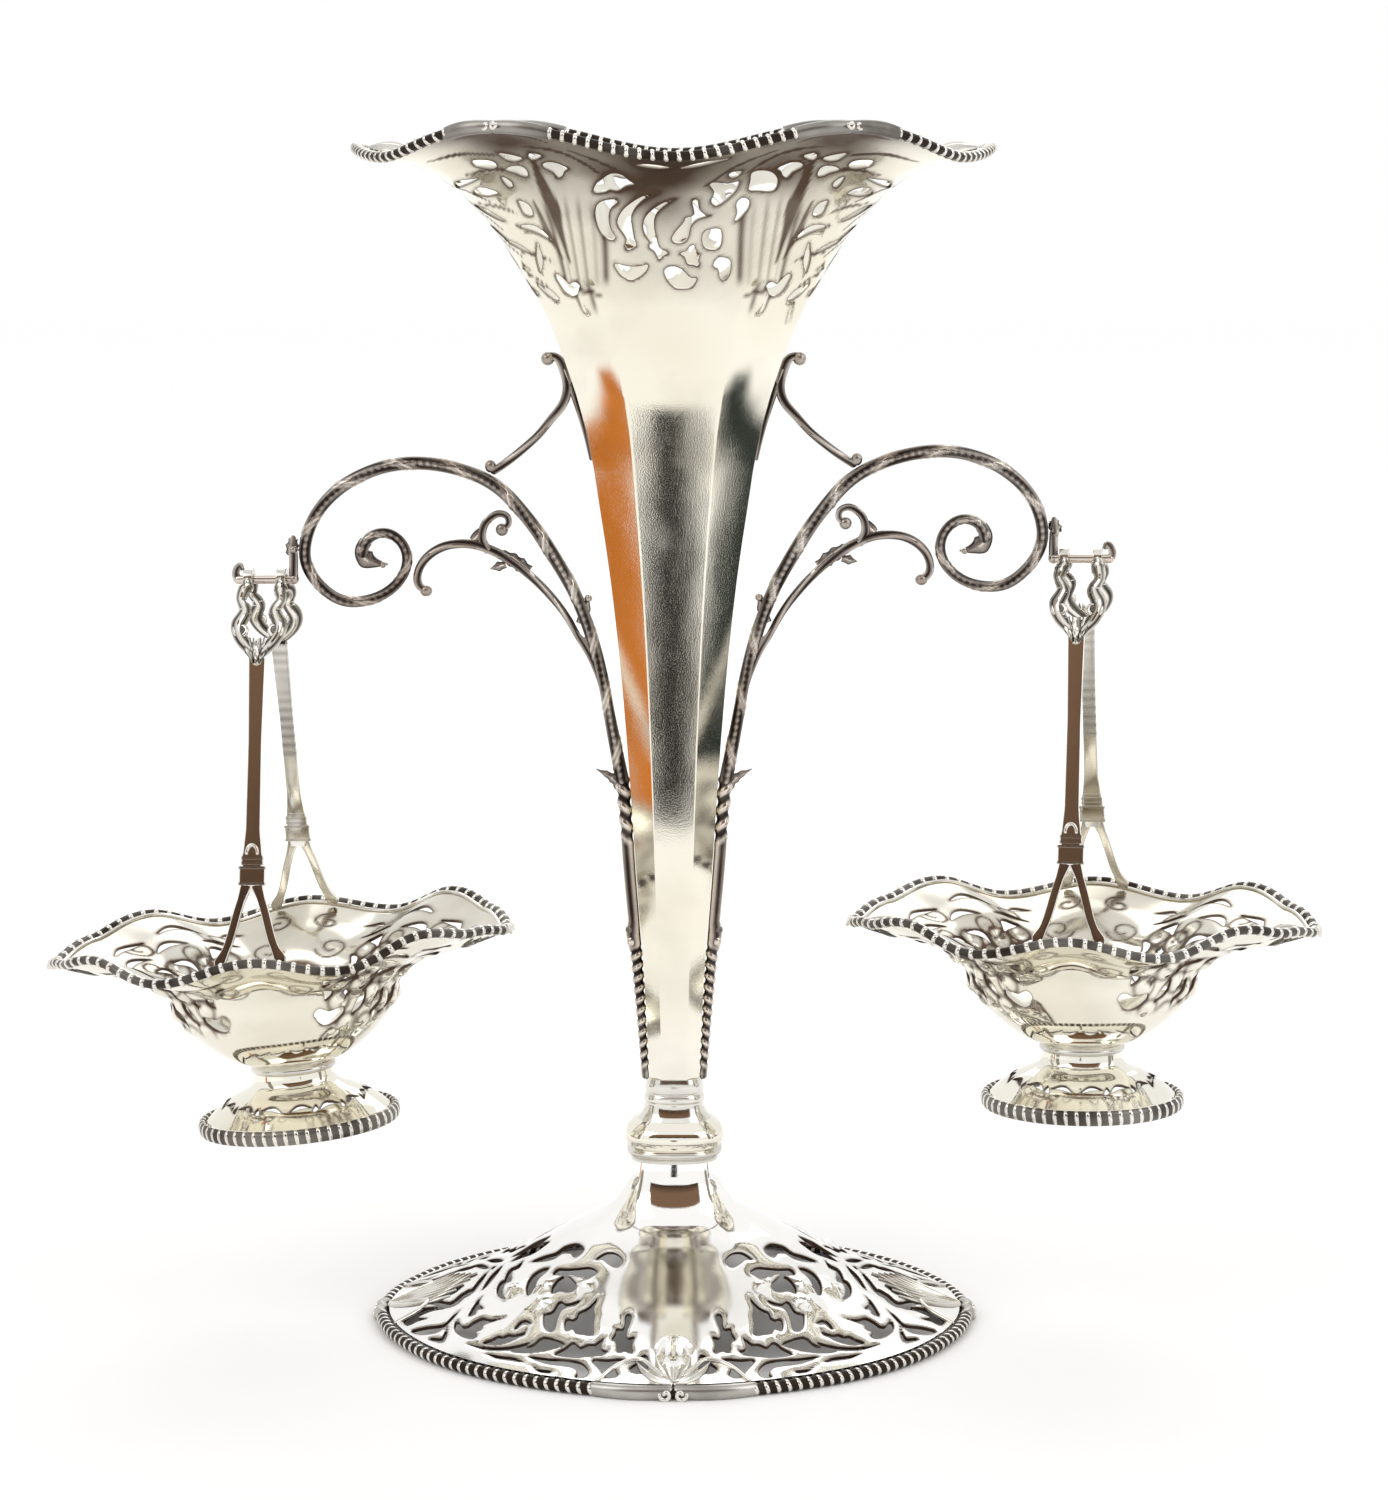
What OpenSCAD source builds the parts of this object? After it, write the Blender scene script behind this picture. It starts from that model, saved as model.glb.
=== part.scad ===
// Silver epergne: a trumpet vase on an oval foot, two scroll arms and two baskets that hang from hooks.
// Origin at the centre of the foot's underside, +Z up, the arms along X, the front towards -Y. Millimetres.

/* [Foot] */
// Length of the foot over its border
foot_length = 177; // [150:1:210]
// Width of the foot over its border
foot_width = 154; // [130:1:185]
// Height from the table to the top of the foot's neck
foot_height = 51; // [42:1:64]
// Length of the foot's neck
foot_neck_length = 26; // [22:0.5:32]
// Width of the foot's neck
foot_neck_width = 22; // [19:0.5:28]
// Thickness of the foot's sheet
foot_wall = 1.2; // [0.8:0.1:1.8]
// Width of the foot's gadroon border
foot_border_width = 6; // [4:0.5:9]
// Height of the foot's gadroon border
foot_border_height = 6.2; // [4:0.2:9]
// Angle of the border that each shell takes
foot_shell_angle = 30; // [16:1:40]
// How far each shell stands out past the border
foot_shell_reach = 2.2; // [0:0.2:5]

/* [Stem] */
// Length of the knop at its widest
knop_length = 30.4; // [27:0.2:38]
// Width of the knop at its widest
knop_width = 26; // [23:0.2:34]
// Height of the collar under the knop
lower_collar_height = 3.8; // [2:0.2:7]
// Height of the knop
knop_height = 8.7; // [6:0.1:14]
// Height of the stepped collar over the knop
upper_collar_height = 12.5; // [9:0.5:18]
// Diameter of the tie stud
stud_d = 5; // [3:0.5:6]
// Room all round the stud in the pieces that it passes through
stud_clearance = 0.1; // [0.05:0.05:0.3]
// Thickness of the plate that closes the foot's neck
neck_plate_thickness = 2; // [1.5:0.5:4]
// Diameter of the washer under the neck plate
washer_d = 14; // [11:0.5:16]
// Thickness of the washer
washer_thickness = 1.5; // [1:0.25:3]
// Width of the nut across its flats
nut_across_flats = 8; // [7:0.5:10]
// Height of the nut
nut_height = 4; // [2.5:0.5:6]
// Height of the plug in the vase that the stud screws into
plug_height = 8; // [5:0.5:14]
// Length of stud past the nut
stud_tail = 3; // [1:0.5:8]

/* [Vase] */
// Length of the vase's mouth over its border
mouth_length = 189; // [150:1:220]
// Width of the vase's mouth over its border
mouth_width = 142; // [120:1:170]
// Height from the bottom of the vase to the edge of its sheet at the front
vase_height = 276; // [240:1:310]
// Length of the vase at its bottom
vase_base_length = 15; // [13:0.5:20]
// Width of the vase at its bottom
vase_base_width = 13; // [12:0.5:18]
// Thickness of the vase's sheet
vase_wall = 0.9; // [0.6:0.1:1.4]
// Width of the mouth's border
mouth_border_width = 4; // [3:0.25:6]
// Height of the mouth's border
mouth_border_height = 3.4; // [2.4:0.2:5]
// Rise of the mouth over its front edge at each corner shell
mouth_hump = 8; // [2:0.5:12]
// Rise of the mouth over its front edge at each end
mouth_tip_rise = 2; // [-2:0.5:5]
// Dip of the mouth under its front edge beside each end
mouth_dip = 0.5; // [0:0.5:4]
// Angle of the mouth that each shell takes
mouth_shell_angle = 18; // [10:1:24]
// How far the shells stand out of the mouth's sheet
mouth_shell_relief = 1.6; // [0.8:0.2:3]

/* [Arms] */
// Distance from the vase's axis to the middle of the left hook, before its arm sagged
left_reach = 121.5; // [105:0.5:135]
// Distance from the vase's axis to the middle of the right hook
right_reach = 121.3; // [105:0.1:135]
// Height of the hook bars over the table, before any arm sagged
hook_height = 234; // [218:0.5:250]
// Slope by which the left arm has sagged, in degrees
left_sag = 3.5; // [0:0.5:6]
// Slope by which the right arm has sagged, in degrees
right_sag = 0; // [0:0.5:6]
// Thickness of the main scroll
arm_d = 4.4; // [3.4:0.2:5.2]
// Thickness of the main scroll where it starts at the vase's foot
arm_root_d = 2.2; // [1.6:0.2:3.4]
// Height over the vase's bottom at which the main scroll leaves the vase
arm_parting = 91; // [60:1:110]
// Thickness of the brace scroll
brace_d = 2.6; // [2:0.2:3.2]
// Thickness of the upper bracket
bracket_d = 2.2; // [1.6:0.2:3]
// Gap left for solder between pieces that are joined
solder_gap = 0.15; // [0.05:0.05:0.3]

/* [Hooks] */
// Diameter of the hook bar
bar_d = 2.8; // [2.4:0.2:4]
// Room along the bar between the loops and the hook's knuckle and tip
hook_room = 0.5; // [0.3:0.1:1]
// Height of the upturned tip over the bar's axis
tip_height = 4.4; // [3:0.2:7]
// Angle by which the left hook droops outward
left_droop = 1; // [-3:0.5:6]
// Angle by which the right hook droops outward
right_droop = -1; // [-3:0.5:6]
// Angle by which the left hook and its basket are turned
left_turn = 5; // [0:1:13]
// Angle by which the right hook and its basket are turned
right_turn = 11; // [0:1:13]

/* [Baskets] */
// Length of each basket over its border
basket_length = 143; // [120:1:152]
// Width of each basket over its border
basket_width = 99; // [86:1:112]
// Drop from the hook bar's axis to the basket's edge
basket_drop = 108.5; // [96:0.5:116]
// Angle by which the left bowl is bent out of square with its handle
left_tilt = 4.5; // [-3:0.5:8]
// Angle by which the right bowl is bent out of square with its handle
right_tilt = 0; // [-3:0.5:8]
// Dip of the edge at each end of a basket
basket_tip_dip = 4; // [0:0.5:6]
// Dip of the edge beside each end of a basket
basket_shoulder_dip = 1; // [0:0.5:4]
// Rise of the edge at the corners of a basket
basket_corner_rise = 2.5; // [0:0.5:5]
// Dip of the edge beside the middle of a basket's sides
basket_side_dip = 4; // [0:0.5:6]
// Rise of the edge at the middle of a basket's sides
basket_middle_rise = 0.5; // [-1:0.5:3]
// Depth of the bowl under its edge
bowl_depth = 39; // [32:0.5:44]
// Length of the bowl's flat bottom
bowl_bottom_length = 24; // [20:0.5:30]
// Thickness of the bowl's sheet
bowl_wall = 0.9; // [0.6:0.1:1.4]
// Width of the basket's border
basket_border_width = 3.6; // [2.6:0.2:5]
// Height of the basket's border
basket_border_height = 3.3; // [2.4:0.1:5]
// How far the shells at the ends stand up inside the basket
basket_shell_relief = 1.4; // [0.8:0.2:2.4]
// Height of the collar between the bowl and its pedestal
pedestal_collar_height = 2.4; // [1.5:0.1:4]
// Height of the pedestal under its collar
pedestal_height = 17.6; // [13:0.2:24]
// Length of the pedestal's foot over its border
pedestal_length = 62; // [48:1:70]
// Width of the pedestal's foot over its border
pedestal_width = 53; // [42:1:60]
// Width of the pedestal's border
pedestal_border_width = 3; // [2:0.2:4.4]
// Height of the pedestal's border
pedestal_border_height = 5; // [3:0.2:6.4]
// Thickness of the pedestal's sheet
pedestal_wall = 0.9; // [0.6:0.1:1.4]

/* [Handles] */
// Distance from the middle of the hook bar to the middle of each loop
loop_offset = 5; // [4.8:0.1:5.4]
// Width of each loop along the bar
loop_width = 2.8; // [2:0.2:3]
// Thickness of each loop
loop_thickness = 1.8; // [1.4:0.2:3]
// Room between the loops and the hook bar
loop_clearance = 0.25; // [0.15:0.05:0.4]
// Height of the openwork frame under the hook bar
frame_drop = 20; // [18:0.5:30]
// Half width of the frame's scrolls
frame_half_width = 6.2; // [5.4:0.2:9]
// Thickness of the frame's scrolls
frame_d = 2.6; // [2:0.1:3]
// Distance from the hook bar's axis to the foot of the frame, front and back
frame_spread = 16.6; // [13:0.2:20]
// Width of each strap
strap_width = 4.4; // [3:0.2:6]
// Thickness of each strap
strap_thickness = 1.7; // [1.2:0.1:2.4]
// Width of the ring band on each strap
band_width = 7.6; // [6:0.2:10]
// Height of the ring band over the basket's edge
band_rise = 25.5; // [18:0.5:34]
// Height of the ring band
band_height = 5; // [3:0.5:7]
// Distance from the middle of each strap to the feet of its fork
fork_spread = 9.8; // [7:0.2:15]

/* [Hidden] */
basket_pieces = ["bowl", "border", "shells", "collar", "pedestal", "foot_border", "loops",
    "frame", "strap_front", "strap_back"];

bright = [0.86, 0.85, 0.80];
cast = [0.72, 0.69, 0.62];
brass = [0.72, 0.58, 0.32];
$fn = 48;

// Columns round the plain sheets, and rows from bottom to edge
pedestal_columns = 28;
pedestal_rows = 5;
stem_columns = 24;
tube_sides = 8;
wire_sides = 6;
// A full turn, and steps for measuring slopes on a sheet
turn = 360;
phi_step = 0.5;
t_step = 0.002;
// How square the stem and the mouth are in plan: 2 is an ellipse
stem_square = 2.6;
mouth_square = 2.6;
// Half the width of the vase's front panel as a share of its half length
panel_share = 0.5;
panel_corner = atan(panel_share);
// Shares of the vase's height between which its panels fade into the mouth
panel_fade = [0.74, 0.97];
// Shares of the height over which the waves of an edge grow
vase_wave_from = 0.8;
bowl_wave_from = 0.55;
// Pierced sheets: edges of their bars and openings over a quarter in degrees, and their steps on the way up
foot_bars = [0, 3, 13, 16, 26, 29, 39, 42, 52, 55, 67, 78.5, 90];
foot_steps = [0, 0.03, 0.16, 0.19, 0.31, 0.335, 0.43, 0.52, 0.64, 0.76, 0.88, 1];
vase_bars = [0, 4.5, 18, panel_corner, 41, 49, 90 - panel_corner, 72, 85.5, 90];
vase_steps = [0, 0.1, 0.2, 0.3, 0.4, 0.48, 0.54, 0.6, 0.64, 0.67, 0.715, 0.735, 0.78, 0.825, 0.85, 0.9,
    0.945, 0.975, 1];
bowl_bars = [0, 4.5, 18, 22.5, 36, 42, 54, 58.5, 69, 79.5, 90];
bowl_steps = [0, 0.1, 0.22, 0.34, 0.42, 0.48, 0.6, 0.66, 0.76, 0.86, 0.93, 1];
// Which columns of a quarter and which steps are open
foot_open = [[1, 3, 5, 7, 9], [1, 3, 5]];
vase_open = [[1, 3, 5, 7], [9, 11, 12, 14]];
bowl_open = [[1, 3, 5, 7], [5, 7, 8]];

stem_z = foot_height + lower_collar_height;
upper_collar_z = stem_z + knop_height;
vase_z = upper_collar_z + upper_collar_height;
plate_z = foot_height - neck_plate_thickness;
washer_z = plate_z - washer_thickness;
nut_z = washer_z - nut_height;
stud_bore_d = stud_d + 2 * stud_clearance;
knuckle_d = bar_d * 1.1;
bar_half = loop_offset + loop_width / 2 + hook_room + knuckle_d / 2;

// Outlines from bottom to top, each as shares of the way out and of the way up
foot_profile = [[1, 0], [0.8, 0.09], [0.59, 0.225], [0.37, 0.405], [0.23, 0.53], [0.115, 0.64],
    [0.05, 0.765], [0.013, 0.885], [0, 1]];
vase_profile = [[0, 0], [0.019, 0.116], [0.045, 0.224], [0.068, 0.33], [0.096, 0.44], [0.13, 0.54],
    [0.17, 0.626], [0.223, 0.72], [0.324, 0.81], [0.433, 0.872], [0.557, 0.926], [0.7, 0.968],
    [0.86, 0.992], [1, 1]];
bowl_profile = [[0, 0], [0.13, 0.077], [0.29, 0.26], [0.38, 0.436], [0.45, 0.654], [0.605, 0.808],
    [0.81, 0.91], [1, 1]];
pedestal_profile = [[1, 0], [0.7, 0.3], [0.42, 0.5], [0.14, 0.66], [0.03, 0.82], [0, 1]];
// Outlines of the stem's pieces as shares of the knop's size and of each piece's height
lower_collar_profile = [[0.87, 0], [0.88, 0.3], [0.94, 0.5], [0.95, 0.8], [0.9, 1]];
knop_profile = [[0.9, 0], [0.97, 0.2], [1, 0.42], [0.96, 0.65], [0.86, 0.84], [0.76, 1]];
pedestal_collar_profile = [[1, 0], [1.08, 0.3], [1.08, 0.7], [1, 1]];
upper_collar_profile = [[0.74, 0], [0.66, 0.13], [0.6, 0.3], [0.585, 0.4], [0.61, 0.46], [0.6, 0.56],
    [0.57, 0.62], [0.585, 0.7], [0.58, 0.86], [0.54, 1]];
// Waves of the edges at even steps from the end to the middle of a side: rise and swell
mouth_rise = [mouth_tip_rise, -mouth_dip, mouth_hump, 0];
mouth_swell = [0, -0.03, 0, 0];
basket_rise = [-basket_tip_dip, -basket_shoulder_dip, basket_corner_rise, -basket_side_dip,
    basket_middle_rise];
basket_swell = [0, -0.02, 0, 0.025, -0.01];
foot_swell = [0.01, -0.005, -0.005, 0.01];
// Corners of the mouth where the shells stand
mouth_corner = 60;
// Section of a border as shares of its width and height, round and with a flat foot
round_section = [for (a = [300:-60:0]) [(1 + cos(a)) / 2, sin(a) / 2]];
footed_section = [[0, 0.95], [0.55, 1], [0.88, 0.72], [1, 0.3], [0.85, 0], [0, 0]];

// Shells in relief: shares of the way up a sheet, half the angle, and how far their outline is drawn in
mouth_relief = [0.9, 0.99];
mouth_relief_half = 0.6 * mouth_shell_angle;
basket_relief = [0.84, 0.985];
basket_relief_half = 11;
relief_inset = 0.08;
relief_edge = 0.25;
// Room under a relief, for the flats of the sheet that it lies on
relief_gap = 0.45;

// Main scroll as shares of the way from the vase to the hook, and of the way up from where it parts
arm_points = [[-0.005, 0.263], [0.029, 0.537], [0.082, 0.797], [0.146, 0.989], [0.239, 1.207],
    [0.337, 1.368], [0.473, 1.457], [0.613, 1.476], [0.749, 1.416], [0.85, 1.284], [0.887, 1.11],
    [0.86, 0.991], [0.774, 0.878], [0.661, 0.895], [0.592, 0.991], [0.591, 1.11], [0.65, 1.185],
    [0.713, 1.144], [0.716, 1.094]];
brace_points = [[0.093, 0.663], [0.126, 0.758], [0.171, 0.852], [0.221, 0.936], [0.282, 1.015],
    [0.347, 1.073], [0.408, 1.102], [0.475, 1.1], [0.525, 1.063], [0.555, 1.005], [0.559, 0.936],
    [0.533, 0.905]];
curl_points = [[0.352, 1.073], [0.367, 1.126], [0.359, 1.189], [0.325, 1.229], [0.295, 1.218],
    [0.29, 1.179], [0.31, 1.157]];
// Points on an arm's outer side that the hook lies against
hook_flank = [[0.883, 1.165], [0.887, 1.115]];
// Way out from the arm to the hook's tail, and the tail's thickness and rise in bar diameters
flank_way = [1, 0, 0.18];
tail_share = 0.95;
tail_rise = 2.6;
// Bracket: where it meets the arm, its pad as shares of the vase's height, and its run between them
bracket_end = [0.332, 1.423];
bracket_pad = [0.761, 0.79];
bracket_points = [[0.05, 0.235], [0.22, 0.41], [0.39, 0.59], [0.59, 0.74], [0.81, 0.89], [1, 1]];
bracket_pad_share = 1.6;
bracket_curl = 1.2;
// Half width of the frame's scrolls on the way down, and how far down each point is, as shares
frame_points = [[0.9, 0.15], [0.96, 0.26], [0.72, 0.42], [1, 0.62], [0.8, 0.8], [0.28, 0.96], [0, 1]];
// How soon the frame spreads on its way down: under 1 spreads it early
frame_lean = 0.75;

function unit(v) = v / norm(v);
function mix(a, b, u) = a + (b - a) * u;
function smooth(a, b, x) = let (u = max(0, min(1, (x - a) / (b - a)))) u * u * (3 - 2 * u);

// Smooth curve through a list of points, from the first at 0 to the last at 1
function spline(p, t) = let (
        last = len(p) - 1,
        i = max(0, min(last - 1, floor(t * last))),
        u = t * last - i,
        b = p[i],
        c = p[i + 1],
        a = i > 0 ? p[i - 1] : 2 * b - c,
        d = i < last - 1 ? p[i + 2] : 2 * c - b)
    b + ((c - a) * u + (2 * a - 5 * b + 4 * c - d) * u * u + (3 * b - a - 3 * c + d) * u * u * u) / 2;

// Evenly many points along a smooth curve
function curve(p, steps) = [for (i = [0:steps]) spline(p, i / steps)];

// Value at an angle of a list that runs from the end of an oval to the middle of its side
function wave(values, phi) = let (
        quarter = acos(abs(cos(phi))) / 90 * (len(values) - 1),
        i = min(len(values) - 2, floor(quarter)))
    mix(values[i], values[i + 1], (1 - cos(180 * (quarter - i))) / 2);

// Radius of a unit squared oval, and of a unit octagon, in a direction
function squared(phi, power) = pow(pow(abs(cos(phi)), power) + pow(abs(sin(phi)), power), -1 / power);
function octagon(phi) = let (c = abs(cos(phi)), s = abs(sin(phi)))
    1 / max(c, s, (c + s) / (1 + panel_share));

// Raised sheets: a point for each angle round the axis and share of the way up
function foot_sheet(phi, t) = let (
        p = spline(foot_profile, t),
        a = mix(foot_neck_length / 2, foot_length / 2 - foot_border_width, p[0]),
        b = mix(foot_neck_width / 2, foot_width / 2 - foot_border_width, p[0]),
        r = mix(squared(phi, stem_square), 1 + wave(foot_swell, phi), p[0]))
    [a * r * cos(phi), b * r * sin(phi), mix(foot_border_height - foot_wall / 2, foot_height, p[1])];
function vase_sheet(phi, t) = let (
        p = spline(vase_profile, t),
        a = mix(vase_base_length / 2, mouth_length / 2 - mouth_border_width, p[0]),
        b = mix(vase_base_width / 2, mouth_width / 2 - mouth_border_width, p[0]),
        fade = smooth(panel_fade[0], panel_fade[1], p[1]),
        edge = smooth(vase_wave_from, 1, p[1]),
        r = mix(octagon(phi), squared(phi, mouth_square), fade) * (1 + edge * wave(mouth_swell, phi)))
    [a * r * cos(phi), b * r * sin(phi), vase_z + vase_height * p[1] + edge * wave(mouth_rise, phi)];
function bowl_sheet(phi, t) = let (
        p = spline(bowl_profile, t),
        edge = smooth(bowl_wave_from, 1, p[1]),
        a = mix(bowl_bottom_length / 2, basket_length / 2 - basket_border_width, p[0]),
        b = mix(bowl_bottom_length * bowl_bottom_share / 2, basket_width / 2 - basket_border_width, p[0]),
        r = 1 + edge * wave(basket_swell, phi))
    [a * r * cos(phi), b * r * sin(phi),
        -basket_drop - bowl_depth * (1 - p[1]) + edge * wave(basket_rise, phi)];
function pedestal_sheet(phi, t) = let (
        p = spline(pedestal_profile, t),
        top = bowl_bottom_length / 2,
        a = mix(top, pedestal_length / 2 - pedestal_border_width, p[0]),
        b = mix(top * bowl_bottom_share, pedestal_width / 2 - pedestal_border_width, p[0]))
    [a * cos(phi), b * sin(phi),
        mix(pedestal_z + pedestal_border_height - pedestal_wall / 2, pedestal_top, p[1])];
bowl_bottom_share = 0.8;
pedestal_top = -basket_drop - bowl_depth - pedestal_collar_height;
pedestal_z = pedestal_top - pedestal_height;

// Outward normal of a sheet, its inner face, and the way out along it at its edge
function slope(sheet, phi, t) =
    unit(sheet(phi, min(1, t + t_step)) - sheet(phi, max(0, t - t_step)));
function normal(sheet, phi, t) =
    unit(cross(sheet(phi + phi_step, t) - sheet(phi - phi_step, t), slope(sheet, phi, t)));
function inner(sheet, phi, t, depth) = sheet(phi, t) - depth * normal(sheet, phi, t);
// Level way out from the edge of a sheet that ends at its foot
function level_out(sheet, phi) = let (d = sheet(phi + phi_step, 0) - sheet(phi - phi_step, 0))
    unit([d[1], -d[0], 0]);

// Vase's half length at a height over its bottom, for what is soldered to its side
function vase_share(height, low = 0, high = 1, steps = 24) = let (
        middle = (low + high) / 2,
        under = spline(vase_profile, middle)[1] * vase_height < height)
    steps == 0 ? middle : vase_share(height, under ? middle : low, under ? high : middle, steps - 1);
function vase_side(height) = vase_sheet(0, vase_share(height))[0];

// Skins rings of equally many points, which run anticlockwise as seen from the last ring
module skin(rings, closed = false) {
    n = len(rings[0]);
    m = len(rings);
    sides = [for (r = [0:(closed ? m - 1 : m - 2)], c = [0:n - 1])
        let (a = r * n + c, b = r * n + (c + 1) % n, up = ((r + 1) % m) * n - r * n)
        each [[a, a + up, b + up], [a, b + up, b]]];
    caps = closed ? [] : [[for (c = [0:n - 1]) c], [for (c = [n - 1:-1:0]) (m - 1) * n + c]];
    polyhedron([for (r = rings) each r], concat(sides, caps), convexity = 8);
}

function sheet_ring(sheet, t, depth, columns) =
    [for (c = [0:columns - 1]) inner(sheet, turn * c / columns, t, depth)];

// Sheet of metal that is open at both ends
module open_sheet(sheet, wall, rows, columns) {
    skin(concat(
        [for (r = [0:rows]) sheet_ring(sheet, r / rows, 0, columns)],
        [for (r = [rows:-1:0]) sheet_ring(sheet, r / rows, wall, columns)]), true);
}

// Angles all round from the edges of a quarter, and the column of the quarter that a column mirrors
function mirrored(bars) = let (last = len(bars) - 1)
    [for (half = [0, 180]) each concat(
        [for (i = [0:last - 1]) half + bars[i]],
        [for (i = [last:-1:1]) half + 180 - bars[i]])];
function quarter_column(c, count) = let (h = c % (2 * count)) h < count ? h : 2 * count - 1 - h;

// Sheet of metal with openings, open at its lower end or closed by a flat bottom
module pierced_sheet(sheet, wall, bars, steps, open, bottom = false) {
    angles = mirrored(bars);
    n = len(angles);
    rows = len(steps) - 1;
    back = n * (rows + 1);
    floor_ring = [for (a = angles) let (p = sheet(a, 0))
        [p[0] * bowl_floor_share, p[1] * bowl_floor_share, p[2] + wall]];
    outer = [for (t = steps, a = angles) sheet(a, t)];
    lining = [for (r = [0:rows]) each bottom && r == 0 ? floor_ring
        : [for (a = angles) inner(sheet, a, steps[r], wall)]];
    function metal(r, c) = r >= 0 && r < rows && (len(search(r, open[1])) == 0
        || len(search(quarter_column((c + n) % n, len(bars) - 1), open[0])) == 0);
    function at(r, c) = r * n + (c + n) % n;
    function quad(a, b, c, d) = [[a, b, c], [a, c, d]];
    function wall_of(a, b) = quad(b, a, a + back, b + back);
    faces = [for (r = [0:rows - 1], c = [0:n - 1]) if (metal(r, c))
        let (a = at(r, c), b = at(r, c + 1), up_a = at(r + 1, c), up_b = at(r + 1, c + 1))
        each concat(
            quad(a, up_a, up_b, b),
            quad(b + back, up_b + back, up_a + back, a + back),
            metal(r, c - 1) ? [] : wall_of(a, up_a),
            metal(r + 1, c) ? [] : wall_of(up_a, up_b),
            metal(r, c + 1) ? [] : wall_of(up_b, b),
            metal(r - 1, c) || bottom && r == 0 ? [] : wall_of(b, a))];
    caps = bottom ? [[for (c = [0:n - 1]) c], [for (c = [n - 1:-1:0]) back + c]] : [];
    polyhedron(concat(outer, lining), concat(faces, caps), convexity = 12);
}
bowl_floor_share = 0.9;

// Round bar along points in space, with a thickness at each point
module wire(points, thickness, sides, aside = [0, 1, 0]) {
    last = len(points) - 1;
    skin([for (i = [0:last])
        let (
            along = unit(points[min(last, i + 1)] - points[max(0, i - 1)]),
            v = unit(aside - (aside * along) * along),
            u = cross(v, along))
        [for (k = [0:sides - 1])
            points[i] + thickness[i] / 2 * (cos(turn * k / sides) * u + sin(turn * k / sides) * v)]]);
}

// Flat bar along points in space, with a width at each point along X
module flat_bar(points, widths, thickness) {
    last = len(points) - 1;
    skin([for (i = [0:last])
        let (
            along = unit(points[min(last, i + 1)] - points[max(0, i - 1)]),
            u = [1, 0, 0] * widths[i] / 2,
            v = unit(cross(along, [1, 0, 0])) * thickness / 2)
        [points[i] + u + v, points[i] - u + v, points[i] - u - v, points[i] + u - v]]);
}

// Length of border that lies round the upper edge of a sheet, between two angles
module edge_border(sheet, wall, from, to, steps, width, height) {
    skin([for (i = [0:steps])
        let (
            phi = mix(from, to, i / steps),
            out = slope(sheet, phi, 1),
            up = -normal(sheet, phi, 1),
            start = sheet(phi, 1) + up * wall / 2 + out * solder_gap)
        [for (s = round_section)
            start + out * s[0] * (width - solder_gap) + up * s[1] * height]]);
}

// Length of border that stands on a level foot, which may swell in the middle
module foot_edge(sheet, floor_z, from, to, steps, width, height, swell) {
    skin([for (i = [0:steps])
        let (
            phi = mix(from, to, i / steps),
            out = level_out(sheet, phi),
            edge = sheet(phi, 0),
            start = [edge[0], edge[1], floor_z] + out * solder_gap,
            full = width - solder_gap + swell * sin(180 * i / steps))
        [for (s = footed_section) start + out * s[0] * full + [0, 0, s[1] * height]]]);
}

// Shell in relief on the inner face of a sheet, as a lens between two angles and two shares of the way up
module relief(sheet, wall, middle, half, span, height) {
    columns = 6;
    rows = 6;
    function at(i, j, lift) = let (
            t = mix(span[0], span[1], j / rows),
            phi = middle + half * sqrt(lens(j)) * (2 * i / columns - 1))
        inner(sheet, phi, t, wall + relief_gap + lift);
    function lens(j) = sin(180 * mix(relief_inset, 1 - relief_inset, j / rows));
    function swell(i, j) = relief_edge + height * sin(180 * i / columns) * lens(j);
    skin([for (j = [0:rows]) concat(
        [for (i = [0:columns]) at(i, j, 0)],
        [for (i = [columns:-1:0]) at(i, j, swell(i, j))])]);
}

// Piece of the stem from its outline, with a bore for the stud
module stem_piece(profile, z, height) {
    difference() {
        skin([for (p = profile)
            [for (c = [0:stem_columns - 1])
                let (phi = turn * c / stem_columns, r = squared(phi, stem_square) * p[0] / 2)
                [knop_length * r * cos(phi), knop_width * r * sin(phi), z + height * p[1]]]]);
        stud_bore(z, height);
    }
}
module stud_bore(z, height) {
    translate([0, 0, z - 1]) cylinder(d = stud_bore_d, h = height + 2);
}

module foot_dome() {
    color(bright) pierced_sheet(function(phi, t) foot_sheet(phi, t), foot_wall, foot_bars, foot_steps,
        foot_open);
}
module foot_border() {
    half = foot_shell_angle / 2;
    color(cast) for (q = [0:90:270])
        foot_edge(function(phi, t) foot_sheet(phi, t), 0, q + half + 0.1, q + 90 - half - 0.1, 14,
            foot_border_width, foot_border_height, 0);
}
module foot_shells() {
    color(cast) for (q = [0:90:270])
        foot_edge(function(phi, t) foot_sheet(phi, t), 0, q - foot_shell_angle / 2, q + foot_shell_angle / 2,
            8, foot_border_width, foot_border_height, foot_shell_reach);
}
module neck_plate() {
    function outline(z) = [for (c = [0:stem_columns - 1])
        let (
            phi = turn * c / stem_columns,
            r = squared(phi, stem_square),
            inset = foot_wall + 2 * solder_gap)
        [(foot_neck_length / 2 - inset) * r * cos(phi), (foot_neck_width / 2 - inset) * r * sin(phi), z]];
    color(brass) difference() {
        skin([outline(plate_z), outline(foot_height)]);
        stud_bore(plate_z, neck_plate_thickness);
    }
}
module lower_collar() {
    color(cast) stem_piece(lower_collar_profile, foot_height, lower_collar_height);
}
module knop() {
    color(bright) stem_piece(knop_profile, stem_z, knop_height);
}
module upper_collar() {
    color(cast) stem_piece(upper_collar_profile, upper_collar_z, upper_collar_height);
}
module tie_stud() {
    color(brass) translate([0, 0, nut_z - stud_tail])
        cylinder(d = stud_d, h = vase_z + plug_height - nut_z + stud_tail);
}
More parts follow.
